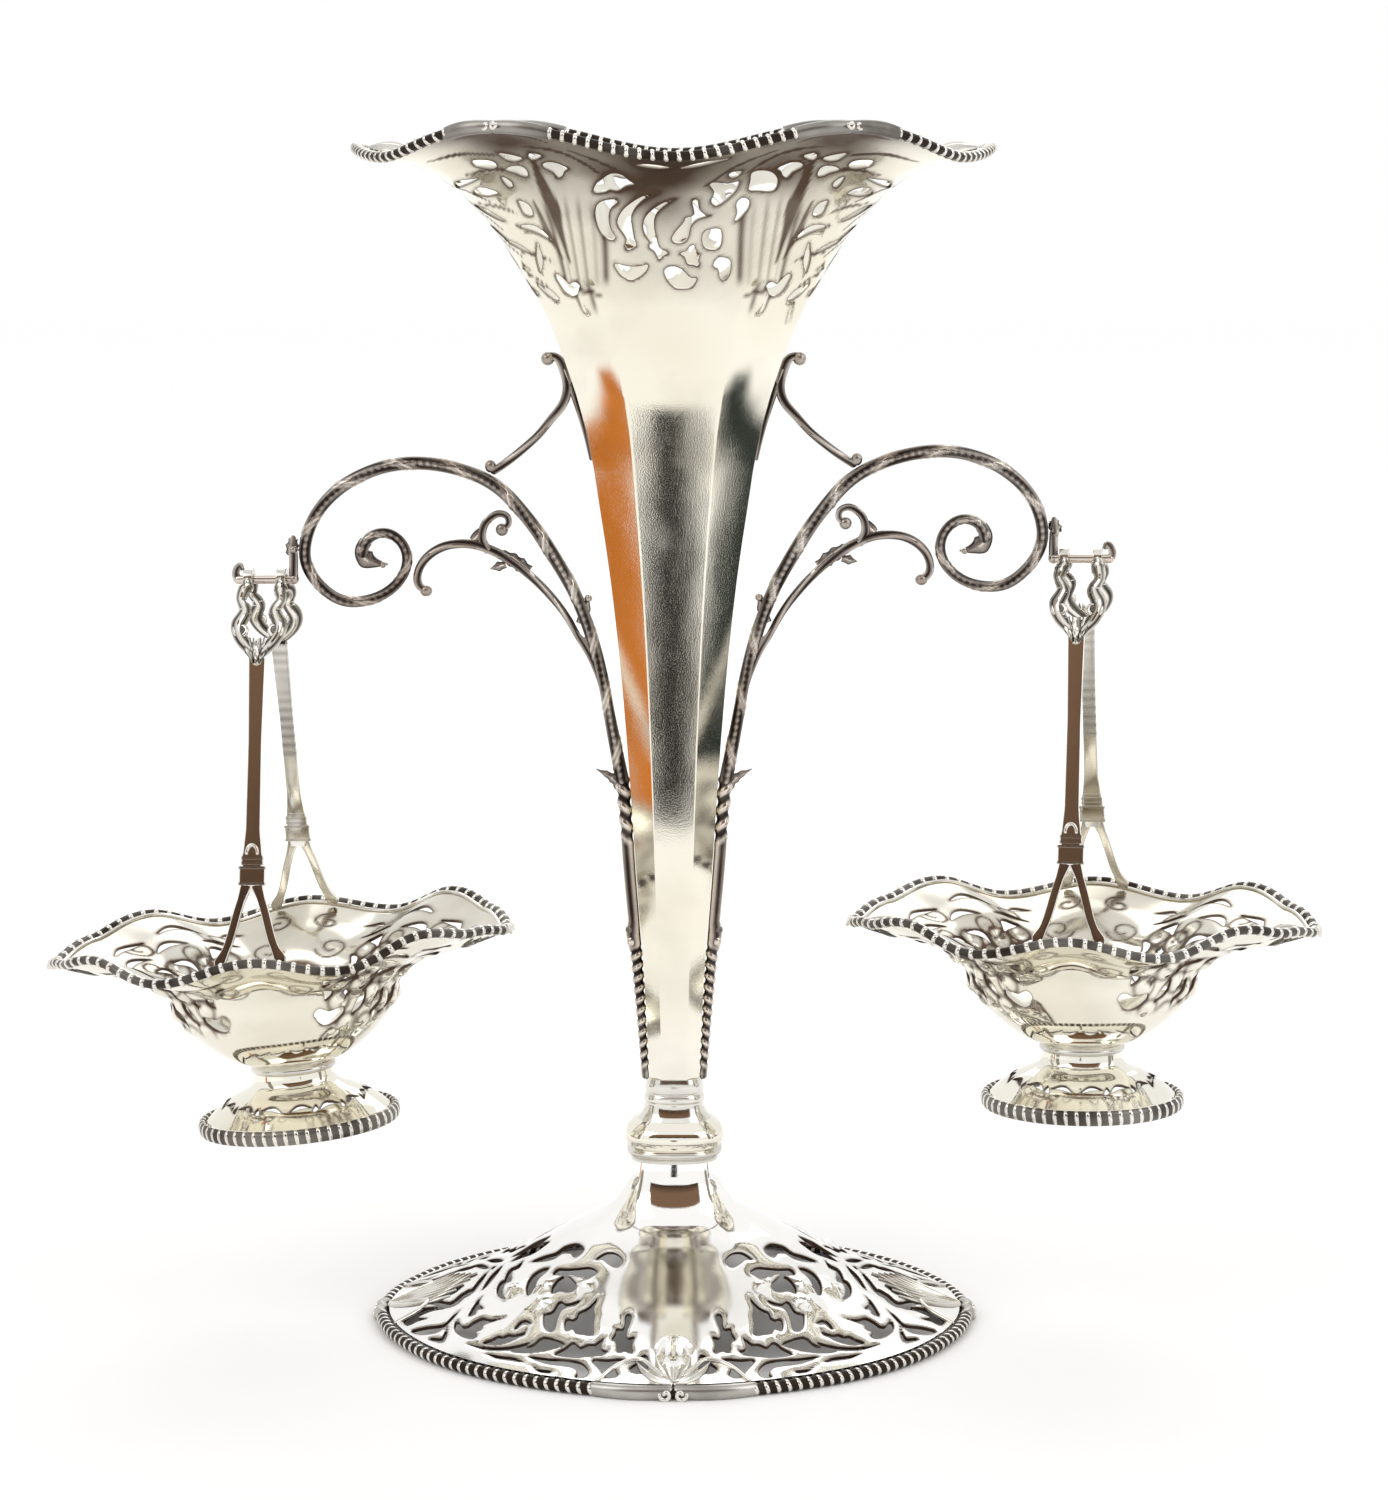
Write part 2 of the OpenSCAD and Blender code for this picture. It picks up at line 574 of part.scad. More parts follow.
module tie_washer() {
    color(brass) translate([0, 0, washer_z]) difference() {
        cylinder(d = washer_d, h = washer_thickness);
        translate([0, 0, -1]) cylinder(d = stud_bore_d, h = washer_thickness + 2);
    }
}
module tie_nut() {
    color(brass) translate([0, 0, nut_z]) difference() {
        cylinder(d = nut_across_flats / cos(30), h = nut_height, $fn = 6);
        translate([0, 0, -1]) cylinder(d = stud_bore_d, h = nut_height + 2);
    }
}
module vase_plug() {
    plug_d = vase_base_width - 2 * (vase_wall + solder_gap);
    color(brass) difference() {
        translate([0, 0, vase_z]) cylinder(d = plug_d, h = plug_height);
        stud_bore(vase_z, plug_height);
    }
}
module vase() {
    color(bright) pierced_sheet(function(phi, t) vase_sheet(phi, t), vase_wall, vase_bars, vase_steps,
        vase_open);
}
// The mouth's border runs between the corner shells, round the ends and along the sides
module vase_border() {
    half = mouth_shell_angle / 2 + 0.15;
    sheet = function(phi, t) vase_sheet(phi, t);
    color(cast) for (q = [0, 180]) {
        edge_border(sheet, vase_wall, q - mouth_corner + half, q + mouth_corner - half, 24,
            mouth_border_width, mouth_border_height);
        edge_border(sheet, vase_wall, q + mouth_corner + half, q + 180 - mouth_corner - half, 10,
            mouth_border_width, mouth_border_height);
    }
}
module vase_shells() {
    half = mouth_shell_angle / 2;
    sheet = function(phi, t) vase_sheet(phi, t);
    color(cast) for (q = [0, 180]) {
        for (s = [-1, 1])
            edge_border(sheet, vase_wall, q + s * mouth_corner - half, q + s * mouth_corner + half, 6,
                mouth_border_width, mouth_border_height);
        relief(sheet, vase_wall, q, mouth_relief_half, mouth_relief, mouth_shell_relief);
    }
}

// Arms lie in the plane of X and Z, given as on the right side and mirrored for the left
function reach(side) = side < 0 ? left_reach : right_reach;
function sag(side) = side < 0 ? left_sag : right_sag;
function droop(side) = side < 0 ? left_droop : right_droop;
function hook_turn(side) = side < 0 ? left_turn : right_turn;
function tilt(side) = side < 0 ? left_tilt : right_tilt;
vase_at_hook = vase_side(hook_height - vase_z);
arm_z = vase_z + arm_parting;
function arm_plan(p, side) = [mix(vase_at_hook, reach(side), p[0]), 0, mix(arm_z, hook_height, p[1])];
function arm_place(p, side) = let (q = arm_plan(p, side))
    q - [0, 0, max(0, q[0] - vase_at_hook) * tan(sag(side))];
function arm_line(points, side) = [for (p = points) arm_place(p, side)];
function hook_middle(side) = arm_place([1, 1], side);
function on_vase(height, thickness) =
    [vase_side(height) + thickness / 2 + solder_gap, 0, vase_z + height];
module on_side(side) {
    if (side < 0) mirror([1, 0, 0]) children(); else children();
}

module arm(side) {
    root_steps = 7;
    scroll_steps = 46;
    root_d = [for (i = [0:root_steps]) mix(arm_root_d, arm_d, i / root_steps)];
    root = [for (i = [0:root_steps]) on_vase(arm_parting * i / root_steps, root_d[i])];
    scroll = curve(concat([root[root_steps]], arm_line(arm_points, side)), scroll_steps);
    free = [for (i = [1:scroll_steps]) scroll[i]];
    free_d = [for (i = [1:scroll_steps]) mix(arm_d, arm_d * 0.7, smooth(0.42, 0.9, i / scroll_steps))];
    color(cast) on_side(side) wire(concat(root, free), concat(root_d, free_d), tube_sides);
}
module brace(side) {
    brace_steps = 22;
    curl_steps = 12;
    color(cast) on_side(side) {
        wire(curve(arm_line(brace_points, side), brace_steps),
            [for (i = [0:brace_steps]) brace_d * mix(0.8, 1, sin(180 * i / brace_steps))], wire_sides);
        wire(curve(arm_line(curl_points, side), curl_steps),
            [for (i = [0:curl_steps]) brace_d * mix(0.9, 0.7, i / curl_steps)], wire_sides);
    }
}
module bracket(side) {
    steps = 16;
    pad = [for (s = bracket_pad) on_vase(s * vase_height, bracket_d * bracket_pad_share)];
    way = arm_place(bracket_end, side) - pad[0];
    run = [for (p = bracket_points) pad[0] + [way[0] * p[0], 0, way[2] * p[1]]];
    path = concat([pad[1] + [bracket_curl * bracket_d, 0, 0], pad[1], pad[0]], run);
    color(cast) on_side(side) wire(curve(path, steps), [for (i = [0:steps]) bracket_d], wire_sides);
}

// Place of a hook and its basket: the bar droops outward and is turned with its basket
module hook_place(side) {
    middle = hook_middle(side);
    translate([side * middle[0], 0, middle[2]]) rotate([0, side * droop(side), -hook_turn(side)]) children();
}
module hook(side) {
    steps = 10;
    level = bar_half * cos(droop(side));
    knuckle = hook_middle(side) + [-level * cos(hook_turn(side)), side * level * sin(hook_turn(side)),
        bar_half * sin(droop(side))];
    tail_d = bar_d * tail_share;
    beside = (arm_d + tail_d) / 2 + solder_gap;
    flank = [for (p = arm_line(hook_flank, side)) p + beside * flank_way];
    bend = [mix(flank[1][0], knuckle[0], 0.8), knuckle[1] / 2, knuckle[2] + tail_rise * bar_d];
    tail = concat(flank, [bend, knuckle + [0, 0, bar_d], knuckle]);
    color(cast) {
        hook_place(side) rotate([0, side * 90, 0]) {
            translate([0, 0, -bar_half]) cylinder(d = bar_d, h = 2 * bar_half);
            translate([0, 0, -bar_half]) sphere(d = knuckle_d);
        }
        hook_place(side) translate([side * bar_half, 0, 0]) {
            sphere(d = knuckle_d);
            cylinder(d = bar_d * 0.8, h = tip_height);
            translate([0, 0, tip_height]) sphere(d = bar_d);
        }
        on_side(side) wire(curve(tail, steps), [for (i = [0:steps]) tail_d * mix(0.6, 1, min(1, i / 4))],
            tube_sides);
    }
}

// Baskets, drawn about the middle of their hook bar
module bowl() {
    color(bright) pierced_sheet(function(phi, t) bowl_sheet(phi, t), bowl_wall, bowl_bars, bowl_steps,
        bowl_open, true);
}
module basket_border() {
    color(cast) for (q = [0:90:270])
        edge_border(function(phi, t) bowl_sheet(phi, t), bowl_wall, q + 0.05, q + 89.95, 14,
            basket_border_width, basket_border_height);
}
module basket_shells() {
    color(cast) for (q = [0, 180])
        relief(function(phi, t) bowl_sheet(phi, t), bowl_wall, q, basket_relief_half, basket_relief,
            basket_shell_relief);
}
module pedestal_collar() {
    plan = sheet_ring(function(phi, t) bowl_sheet(phi, t), 0, 0, pedestal_columns);
    function ring(r) = [for (p = plan)
        [p[0] * r[0], p[1] * r[0], pedestal_top + pedestal_collar_height * r[1]]];
    color(cast) skin([for (r = pedestal_collar_profile) ring(r)]);
}
module pedestal() {
    color(bright) open_sheet(function(phi, t) pedestal_sheet(phi, t), pedestal_wall, pedestal_rows,
        pedestal_columns);
}
module pedestal_border() {
    color(cast) for (q = [0, 180])
        foot_edge(function(phi, t) pedestal_sheet(phi, t), pedestal_z, q + 0.1, q + 179.9, 20,
            pedestal_border_width, pedestal_border_height, 0);
}

// Two half rings that hang the handle on the bar
module loops() {
    color(cast) for (s = [-1, 1]) translate([s * loop_offset, 0, 0]) rotate([90, 0, 90])
        rotate_extrude(angle = 180) translate([loop_inner, -loop_width / 2])
            square([loop_thickness, loop_width]);
}
// Openwork under the loops: a scrolled wire joins them, front and back
module frame() {
    steps = 30;
    down = concat(
        [[loop_offset, wire_y, -frame_d * 0.2], [loop_offset, wire_y, -frame_d * 0.75]],
        [for (p = frame_points)
            [frame_half_width * p[0], frame_line(frame_drop * p[1]), -frame_drop * p[1]]]);
    foot = len(down) - 1;
    path = concat([for (p = down) [-p[0], p[1], p[2]]], [for (i = [foot - 1:-1:0]) down[i]]);
    color(cast) for (s = [-1, 1])
        wire(curve([for (p = path) [p[0], s * p[1], p[2]]], steps), [for (i = [0:steps]) frame_d],
            wire_sides, [0, 1, 0.3 * s]);
}
loop_inner = bar_d / 2 + loop_clearance;
wire_y = loop_inner + frame_d / 2 + loop_clearance / 2;
// Distance from the middle plane of a basket to its handle at a drop under the bar
function frame_line(drop) = mix(wire_y, frame_spread, pow(drop / frame_drop, frame_lean));

// Strap from the frame to the ring band, and the fork under it that stands on the bent bowl's edge
module strap(face, side) {
    leg_steps = 8;
    seat_phi = acos(fork_spread / (basket_length / 2 - basket_border_width));
    seat_sheet = function(phi, t) bowl_sheet(phi, t);
    seat = inner(seat_sheet, seat_phi, seat_share, bowl_wall + 2 * solder_gap + strap_thickness / 2);
    top = [0, frame_spread + frame_d * 0.1, -frame_drop - frame_d / 2 - solder_gap];
    function on_line(z) = [0, mix(top[1], seat[1], (z - top[2]) / (seat[2] - top[2])), z];
    band_z = -basket_drop + band_rise;
    over = band_z + band_height / 2;
    under = band_z - band_height / 2;
    fork = on_line(under - band_step);
    function on_leg(foot, u, spread) =
        [foot[0] * spread, mix(fork[1], foot[1], u), mix(fork[2], foot[2], u)];
    body = concat(
        [top, on_line(mix(top[2], band_z, 0.55)), on_line(over + band_height), on_line(over + band_step)],
        [on_line(over), on_line(under), fork, on_line(under - 3 * band_step)]);
    widths = concat(strap_width * [1.12, 0.9, 1.15, 1.2], [band_width, band_width], strap_width * [1.2, 1]);
    color(cast) scale([1, face, 1]) {
        flat_bar(body, widths, strap_thickness);
        for (s = [-1, 1]) {
            foot = bent([s * fork_spread, seat[1], seat[2]], side);
            start = fork + [s * strap_width / 4, 0, 0];
            leg = [start, on_leg(foot, 0.35, 0.46), on_leg(foot, 0.75, 0.74), foot];
            flat_bar(curve(leg, leg_steps), [for (i = [0:leg_steps]) strap_width * 0.55], strap_thickness);
        }
    }
}
// Share of the way up the bowl at which a fork's feet stand, and the step of the ring band's edges
seat_share = 0.97;
band_step = 0.5;

// Bowl and what is under it, bent out of square about the middle of the basket's edge
function bent(p, side) = let (a = side * tilt(side), h = p[2] + basket_drop)
    [p[0] * cos(a) + h * sin(a), p[1], h * cos(a) - p[0] * sin(a) - basket_drop];
module bent_place(side) {
    translate([0, 0, -basket_drop]) rotate([0, side * tilt(side), 0]) translate([0, 0, basket_drop])
        children();
}
module basket(side, piece) {
    hook_place(side) {
        bent_place(side) {
            if (piece == "bowl") bowl();
            if (piece == "border") basket_border();
            if (piece == "shells") basket_shells();
            if (piece == "collar") pedestal_collar();
            if (piece == "pedestal") pedestal();
            if (piece == "foot_border") pedestal_border();
        }
        if (piece == "loops") loops();
        if (piece == "frame") frame();
        if (piece == "strap_front") strap(-1, side);
        if (piece == "strap_back") strap(1, side);
    }
}

foot_dome();
foot_border();
foot_shells();
neck_plate();
lower_collar();
knop();
upper_collar();
tie_stud();
tie_washer();
tie_nut();
vase_plug();
vase();
vase_border();
vase_shells();
for (side = [-1, 1]) {
    hand = side < 0 ? "left" : "right";
    arm(side);
    brace(side);
    bracket(side);
    hook(side);
    for (piece = basket_pieces)
        basket(side, piece);
}
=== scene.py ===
# %% [markdown]
# # A silver epergne around its CAD frame
# The CAD model says where every piece of the epergne sits and how the baskets swing. This script keeps
# that frame and builds the looks on it: pierced and chased sheet, gadroon borders, cast scrolls, and old
# polished silver. It starts by loading the frame.

# %% Load the frame
import math

import bpy
import numpy as np
from mathutils import Matrix


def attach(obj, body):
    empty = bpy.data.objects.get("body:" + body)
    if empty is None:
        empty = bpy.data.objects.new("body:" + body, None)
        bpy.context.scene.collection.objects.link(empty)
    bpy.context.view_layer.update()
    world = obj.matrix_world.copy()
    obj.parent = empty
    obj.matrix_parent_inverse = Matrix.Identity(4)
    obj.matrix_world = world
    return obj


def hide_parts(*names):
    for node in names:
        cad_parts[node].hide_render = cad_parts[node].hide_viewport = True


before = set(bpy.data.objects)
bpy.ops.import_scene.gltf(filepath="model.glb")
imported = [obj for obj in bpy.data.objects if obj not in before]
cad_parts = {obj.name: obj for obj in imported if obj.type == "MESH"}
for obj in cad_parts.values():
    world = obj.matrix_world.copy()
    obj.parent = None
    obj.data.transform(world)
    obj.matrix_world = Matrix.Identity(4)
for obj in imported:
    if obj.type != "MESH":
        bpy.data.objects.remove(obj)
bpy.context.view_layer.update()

# %% [markdown]
# ## The camera
# The photograph was taken from about 1.15 m in front, a little above, with the view tipped down by nine
# degrees. A long lens keeps the baskets from spreading. The sensor is fitted by its height, because the
# picture is upright.

# %% Camera
VIEW_TIP = 9.3
camera_data = bpy.data.cameras.new("camera")
camera_data.sensor_fit = "VERTICAL"
camera_data.sensor_height = 36
camera_data.lens = 92
camera = bpy.data.objects.new("camera", camera_data)
camera.location = (0.006, -1.1349, 0.3621)
camera.rotation_euler = (math.radians(90 - VIEW_TIP), 0, 0)
bpy.context.collection.objects.link(camera)
bpy.context.scene.camera = camera
bpy.context.scene.view_settings.view_transform = "Standard"
print("camera at", tuple(camera.location))

# %% [markdown]
# ## Helpers for smooth forms
# The sheets of this epergne follow outlines that a silversmith would cut as templates. The same outlines
# made the CAD solids, so the fine surfaces here lie on the coarse ones there. A smooth curve through a
# few points, a wave that runs round an oval, and a squared oval are all that the templates need.

# %% Curves and templates
TAU = 2 * math.pi
TURN_STEP, RISE_STEP = 0.006, 0.002


def mix(a, b, u):
    return a + (b - a) * u


def shares(n):
    """Even steps from 0 to 1."""
    return np.linspace(0, 1, n)


def degrees(low, high, steps):
    """Even steps between two angles, given in degrees."""
    return np.radians(np.linspace(low, high, steps))


def smooth(a, b, x):
    u = np.clip((x - a) / (b - a), 0, 1)
    return u * u * (3 - 2 * u)


def spline(points, t):
    """Smooth curve through the points, from the first at 0 to the last at 1."""
    p = np.asarray(points, float)
    x = np.clip(np.asarray(t, float), 0, 1) * (len(p) - 1)
    i = np.minimum(x.astype(int), len(p) - 2)
    u = (x - i)[..., None]
    p = np.vstack([2 * p[0] - p[1], p, 2 * p[-1] - p[-2]])
    a, b, c, d = p[i], p[i + 1], p[i + 2], p[i + 3]
    return b + ((c - a) * u + (2 * a - 5 * b + 4 * c - d) * u**2 + (3 * b - a - 3 * c + d) * u**3) / 2


def wave(values, phi):
    """A list that runs from the end of an oval to the middle of its side, read at an angle."""
    v = np.asarray(values, float)
    quarter = np.arccos(np.clip(np.abs(np.cos(phi)), 0, 1)) / (TAU / 4) * (len(v) - 1)
    i = np.minimum(quarter.astype(int), len(v) - 2)
    return mix(v[i], v[i + 1], (1 - np.cos(np.pi * (quarter - i))) / 2)


def squared(phi, power=2.6):
    return (np.abs(np.cos(phi)) ** power + np.abs(np.sin(phi)) ** power) ** (-1 / power)


def octagon(phi, panel=0.5):
    c, s = np.abs(np.cos(phi)), np.abs(np.sin(phi))
    return 1 / np.maximum(np.maximum(c, s), (c + s) / (1 + panel))


def unit(v):
    return v / np.maximum(np.linalg.norm(v, axis=-1, keepdims=True), 1e-9)


def normal(sheet, phi, t):
    """Outward normal of a sheet."""
    around = sheet(phi + TURN_STEP, t) - sheet(phi - TURN_STEP, t)
    return unit(np.cross(around, rise_of(sheet, phi, t)))


def rise_of(sheet, phi, t):
    """Way up along a sheet."""
    return unit(sheet(phi, np.minimum(1, t + RISE_STEP)) - sheet(phi, np.maximum(0, t - RISE_STEP)))


print("curves ready")

# %% [markdown]
# ## The raised sheets
# Foot, vase, bowls and pedestals are each raised from flat sheet over stakes. A sheet is a function here:
# an angle round the axis and a share of the way up give a point in millimetres. Baskets are drawn about
# the middle of the hook that they hang from.

# %% Sheets
WALL, FOOT_WALL = 0.9, 1.0
FOOT_LONG, FOOT_DEEP = 82.5, 71
VASE_FOOT, VASE_HEIGHT = 76, 276
BOWL_LONG, BOWL_DROP = 67.9, 108.5
PEDESTAL_TOP, PEDESTAL_LOW = -149.9, -162.95


def foot_sheet(phi, t):
    p = spline([[1, 0], [0.8, 0.09], [0.59, 0.225], [0.37, 0.405], [0.23, 0.53], [0.115, 0.64],
                [0.05, 0.765], [0.013, 0.885], [0, 1]], t)
    out, up = p[..., 0], p[..., 1]
    r = mix(squared(phi), 1 + wave([0.01, -0.005, -0.005, 0.01], phi), out)
    return np.stack([mix(13, FOOT_LONG, out) * r * np.cos(phi), mix(11, FOOT_DEEP, out) * r * np.sin(phi),
                     mix(5.6, 51, up)], -1)


def vase_sheet(phi, t):
    p = spline([[0, 0], [0.019, 0.116], [0.045, 0.224], [0.068, 0.33], [0.096, 0.44], [0.13, 0.54],
                [0.17, 0.626], [0.223, 0.72], [0.324, 0.81], [0.433, 0.872], [0.557, 0.926],
                [0.7, 0.968], [0.86, 0.992], [1, 1]], t)
    out, up = p[..., 0], p[..., 1]
    edge = smooth(0.8, 1, up)
    r = mix(octagon(phi), squared(phi), smooth(0.74, 0.97, up)) * (1 + edge * wave([0, -0.03, 0, 0], phi))
    return np.stack([mix(7.5, 90.5, out) * r * np.cos(phi), mix(6.5, 67, out) * r * np.sin(phi),
                     VASE_FOOT + VASE_HEIGHT * up + edge * wave([2, -0.5, 8, 0], phi)], -1)


def bowl_sheet(phi, t):
    p = spline([[0, 0], [0.13, 0.077], [0.29, 0.26], [0.38, 0.436], [0.45, 0.654], [0.605, 0.808],
                [0.81, 0.91], [1, 1]], t)
    out, up = p[..., 0], p[..., 1]
    edge = smooth(0.55, 1, up)
    r = 1 + edge * wave([0, -0.02, 0, 0.025, -0.01], phi)
    return np.stack([mix(12, BOWL_LONG, out) * r * np.cos(phi), mix(9.6, 45.9, out) * r * np.sin(phi),
                     -BOWL_DROP - 39 * (1 - up) + edge * wave([-4, -1, 2.5, -4, 0.5], phi)], -1)


def pedestal_sheet(phi, t):
    p = spline([[1, 0], [0.7, 0.3], [0.42, 0.5], [0.14, 0.66], [0.03, 0.82], [0, 1]], t)
    out, up = p[..., 0], p[..., 1]
    return np.stack([mix(12, 28, out) * np.cos(phi), mix(9.6, 23.5, out) * np.sin(phi),
                     mix(PEDESTAL_LOW, PEDESTAL_TOP, up)], -1)


print("sheets ready: foot, vase, bowl, pedestal")

# %% [markdown]
# ## Silver
# Old polished silver is nearly white on the high places and brown where the cloth doesn't reach. One
# material serves sheet and castings: a value that each piece carries on its points, broken up by noise,
# darkens and dulls the metal. The value is tarnish, and on some pieces painted light too: painted shade at
# the edges of the openings, between gadroon lobes and inside the foot, and on the arms and hooks a painted
# reflection of a dark room with painted highlights on the ridges. A slow bump stands for the hammer's
# traces and a fast one for the small scratches of a hundred years.

# %% Materials
def node(tree, kind, **values):
    made = tree.nodes.new(kind)
    for name, value in values.items():
        if name in made.inputs:
            made.inputs[name].default_value = value
        else:
            setattr(made, name, value)
    return made


def noise_at(tree, scale, detail):
    where = node(tree, "ShaderNodeTexCoord")
    made = node(tree, "ShaderNodeTexNoise", Scale=scale, Detail=detail)
    tree.links.new(where.outputs["Object"], made.inputs["Vector"])
    return made.outputs["Fac"]


def ramp(tree, source, low, high, to_low, to_high):
    made = node(tree, "ShaderNodeMapRange", **{"From Min": low, "From Max": high, "To Min": to_low,
                                               "To Max": to_high})
    tree.links.new(source, made.inputs["Value"])
    return made.outputs["Result"]


def math_node(tree, operation, a, b):
    made = node(tree, "ShaderNodeMath", operation=operation)
    for socket, value in zip(made.inputs, (a, b)):
        if isinstance(value, (int, float)):
            socket.default_value = value
        else:
            tree.links.new(value, socket)
    return made.outputs[0]


def colour_mix(tree, factor, a, b):
    made = node(tree, "ShaderNodeMix", data_type="RGBA")
    tree.links.new(factor, made.inputs["Factor"])
    for name, value in (("A", a), ("B", b)):
        socket = [s for s in made.inputs if s.name == name and s.type == "RGBA"][0]
        if isinstance(value, tuple):
            socket.default_value = (*value, 1)
        else:
            tree.links.new(value, socket)
    return [s for s in made.outputs if s.type == "RGBA"][0]


def metal(name, bright, warm, dark, rough, dull, hammer):
    """Polished metal that the points' value darkens: tarnish, and on some pieces painted shade and
    reflection.
    """
    material = bpy.data.materials.new(name)
    material.use_nodes = True
    tree = material.node_tree
    shader = tree.nodes["Principled BSDF"]
    shader.inputs["Metallic"].default_value = 1
    # the points' value is tarnish, and on some pieces painted shade, painted highlights and painted
    # reflection
    tarnish_and_painted_light = node(tree, "ShaderNodeAttribute", attribute_name="tarnish_and_painted_light").outputs["Fac"]
    patches = ramp(tree, noise_at(tree, 45, 4), 0.35, 0.75, -0.18, 0.3)
    film = math_node(tree, "ADD", tarnish_and_painted_light, math_node(tree, "MULTIPLY", patches, dull))
    film = ramp(tree, film, 0, 1, 0, 1)
    tone = colour_mix(tree, ramp(tree, noise_at(tree, 18, 2), 0.3, 0.7, 0, 1), bright, warm)
    tree.links.new(colour_mix(tree, film, tone, dark), shader.inputs["Base Color"])
    tree.links.new(ramp(tree, film, 0, 1, rough, 0.5), shader.inputs["Roughness"])
    slow = node(tree, "ShaderNodeBump", Strength=0.25, Distance=hammer)
    tree.links.new(noise_at(tree, 70, 1), slow.inputs["Height"])
    fast = node(tree, "ShaderNodeBump", Strength=0.06, Distance=0.0001)
    tree.links.new(noise_at(tree, 2600, 3), fast.inputs["Height"])
    tree.links.new(slow.outputs["Normal"], fast.inputs["Normal"])
    tree.links.new(fast.outputs["Normal"], shader.inputs["Normal"])
    return material


SHEET = metal("silver_sheet", (0.91, 0.885, 0.80), (0.82, 0.775, 0.645), (0.10, 0.065, 0.045), 0.04, 0.45,
              0.00012)
FOOT = metal("silver_foot", (0.975, 0.965, 0.94), (0.95, 0.93, 0.88), (0.10, 0.065, 0.045), 0.035, 0.25,
             0.0001)
CAST = metal("silver_cast", (0.90, 0.88, 0.83), (0.80, 0.76, 0.68), (0.035, 0.025, 0.02), 0.07, 0.6, 0.0001)
# darker, browner silver for the arms and hooks: a painted reflection of the dark room that the real arms
# mirror
PAINTED_REFLECTION_SILVER = metal("silver_arms_painted_reflection", (0.80, 0.74, 0.67), (0.60, 0.51, 0.44), (0.03, 0.02, 0.017), 0.12, 0.5, 0.0001)
STRAP = metal("silver_strap", (0.92, 0.89, 0.84), (0.88, 0.84, 0.77), (0.05, 0.035, 0.03), 0.03, 0.15,
              0.00001)
BRASS = metal("brass_fittings", (0.72, 0.55, 0.26), (0.62, 0.46, 0.22), (0.16, 0.10, 0.05), 0.32, 0.8, 0.0002)
print("materials:", SHEET.name, FOOT.name, CAST.name, PAINTED_REFLECTION_SILVER.name, STRAP.name, BRASS.name)

# %% [markdown]
# ## From numbers to pieces
# Every piece is a plain mesh at the origin that rides on its CAD body and stands for the CAD nodes it covers.
# The points are worked out in millimetres and stored in metres.

# %% Pieces
def tube(rings, sides, closed=False):
    """Faces over rings of points, each ring joined to the next."""
    steps = [(i * sides, (i + 1) % rings * sides) for i in range(rings if closed else rings - 1)]
    turns = [(k, (k + 1) % sides) for k in range(sides)]
    return [[i + k, i + m, j + m, j + k] for i, j in steps for k, m in turns]


def lids(rings, sides):
    """Faces that close the first ring and the last."""
    return [list(range(sides - 1, -1, -1)), [(rings - 1) * sides + k for k in range(sides)]]


def net(rows, columns):
    """Faces over rows of points that don't close."""
    return [[i * columns + k, i * columns + k + 1, (i + 1) * columns + k + 1, (i + 1) * columns + k]
            for i in range(rows - 1) for k in range(columns - 1)]


def mirrored(parts, axes):
    """Parts turned over along the axes that are -1."""
    return [(np.asarray(p) * axes, [f[::-1] for f in faces], d) for p, faces, d in parts]


def solids(parts):
    """Joins (points, faces, tarnish and painted shade) into one set."""
    points, faces, dark, start = [], [], [], 0
    for p, f, d in parts:
        points.append(np.asarray(p, float).reshape(-1, 3))
        faces += [[i + start for i in face] for face in f]
        dark.append(np.broadcast_to(d, len(points[-1])))
        start += len(points[-1])
    return np.vstack(points), faces, np.concatenate(dark)


def piece(name, parts, material, body="stand", replaces=(), place=None, sharp=38):
    points, faces, dark = solids(parts)
    if place is not None:
        points = points @ place[:3, :3].T + place[:3, 3]
    mesh = bpy.data.meshes.new(name)
    mesh.from_pydata((points / 1000).tolist(), [], faces)
    mesh.attributes.new("tarnish_and_painted_light", "FLOAT", "POINT").data.foreach_set("value", dark.astype(np.float32))
    return finish_piece(name, mesh, material, body, replaces, sharp)


def finish_piece(name, mesh, material, body, replaces, sharp):
    mesh.polygons.foreach_set("use_smooth", [True] * len(mesh.polygons))
    mesh.set_sharp_from_angle(angle=math.radians(sharp))
    mesh.materials.clear()
    mesh.materials.append(material)
    made = bpy.data.objects.new(name, mesh)
    bpy.context.collection.objects.link(made)
    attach(made, body)
    if replaces:
        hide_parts(*replaces)
    print(f"{name}: {len(mesh.polygons)} faces")
    return made


# %% [markdown]
# ## Piercing and chasing
# A pierced sheet is sawn: the silversmith drills a hole, threads the blade and follows the drawing. Here
# the drawing is a field over the sheet that is positive on metal. Each little square of the sheet is
# kept, dropped or cut where the field crosses zero, so edges come out smooth. The kept sheet then gets
# its thickness and the walls of its holes.

# %% Pierced sheet
def walk(mask):
    """Corners (0, 2, 4, 6) and cut edges (1, 3, 5, 7) round a square whose inside corners are set in mask."""
    inside = [bool(mask >> k & 1) for k in range(4)]
    steps = []
    for k in range(4):
        steps += [2 * k] * inside[k] + [2 * k + 1] * (inside[k] != inside[(k + 1) % 4])
    return steps


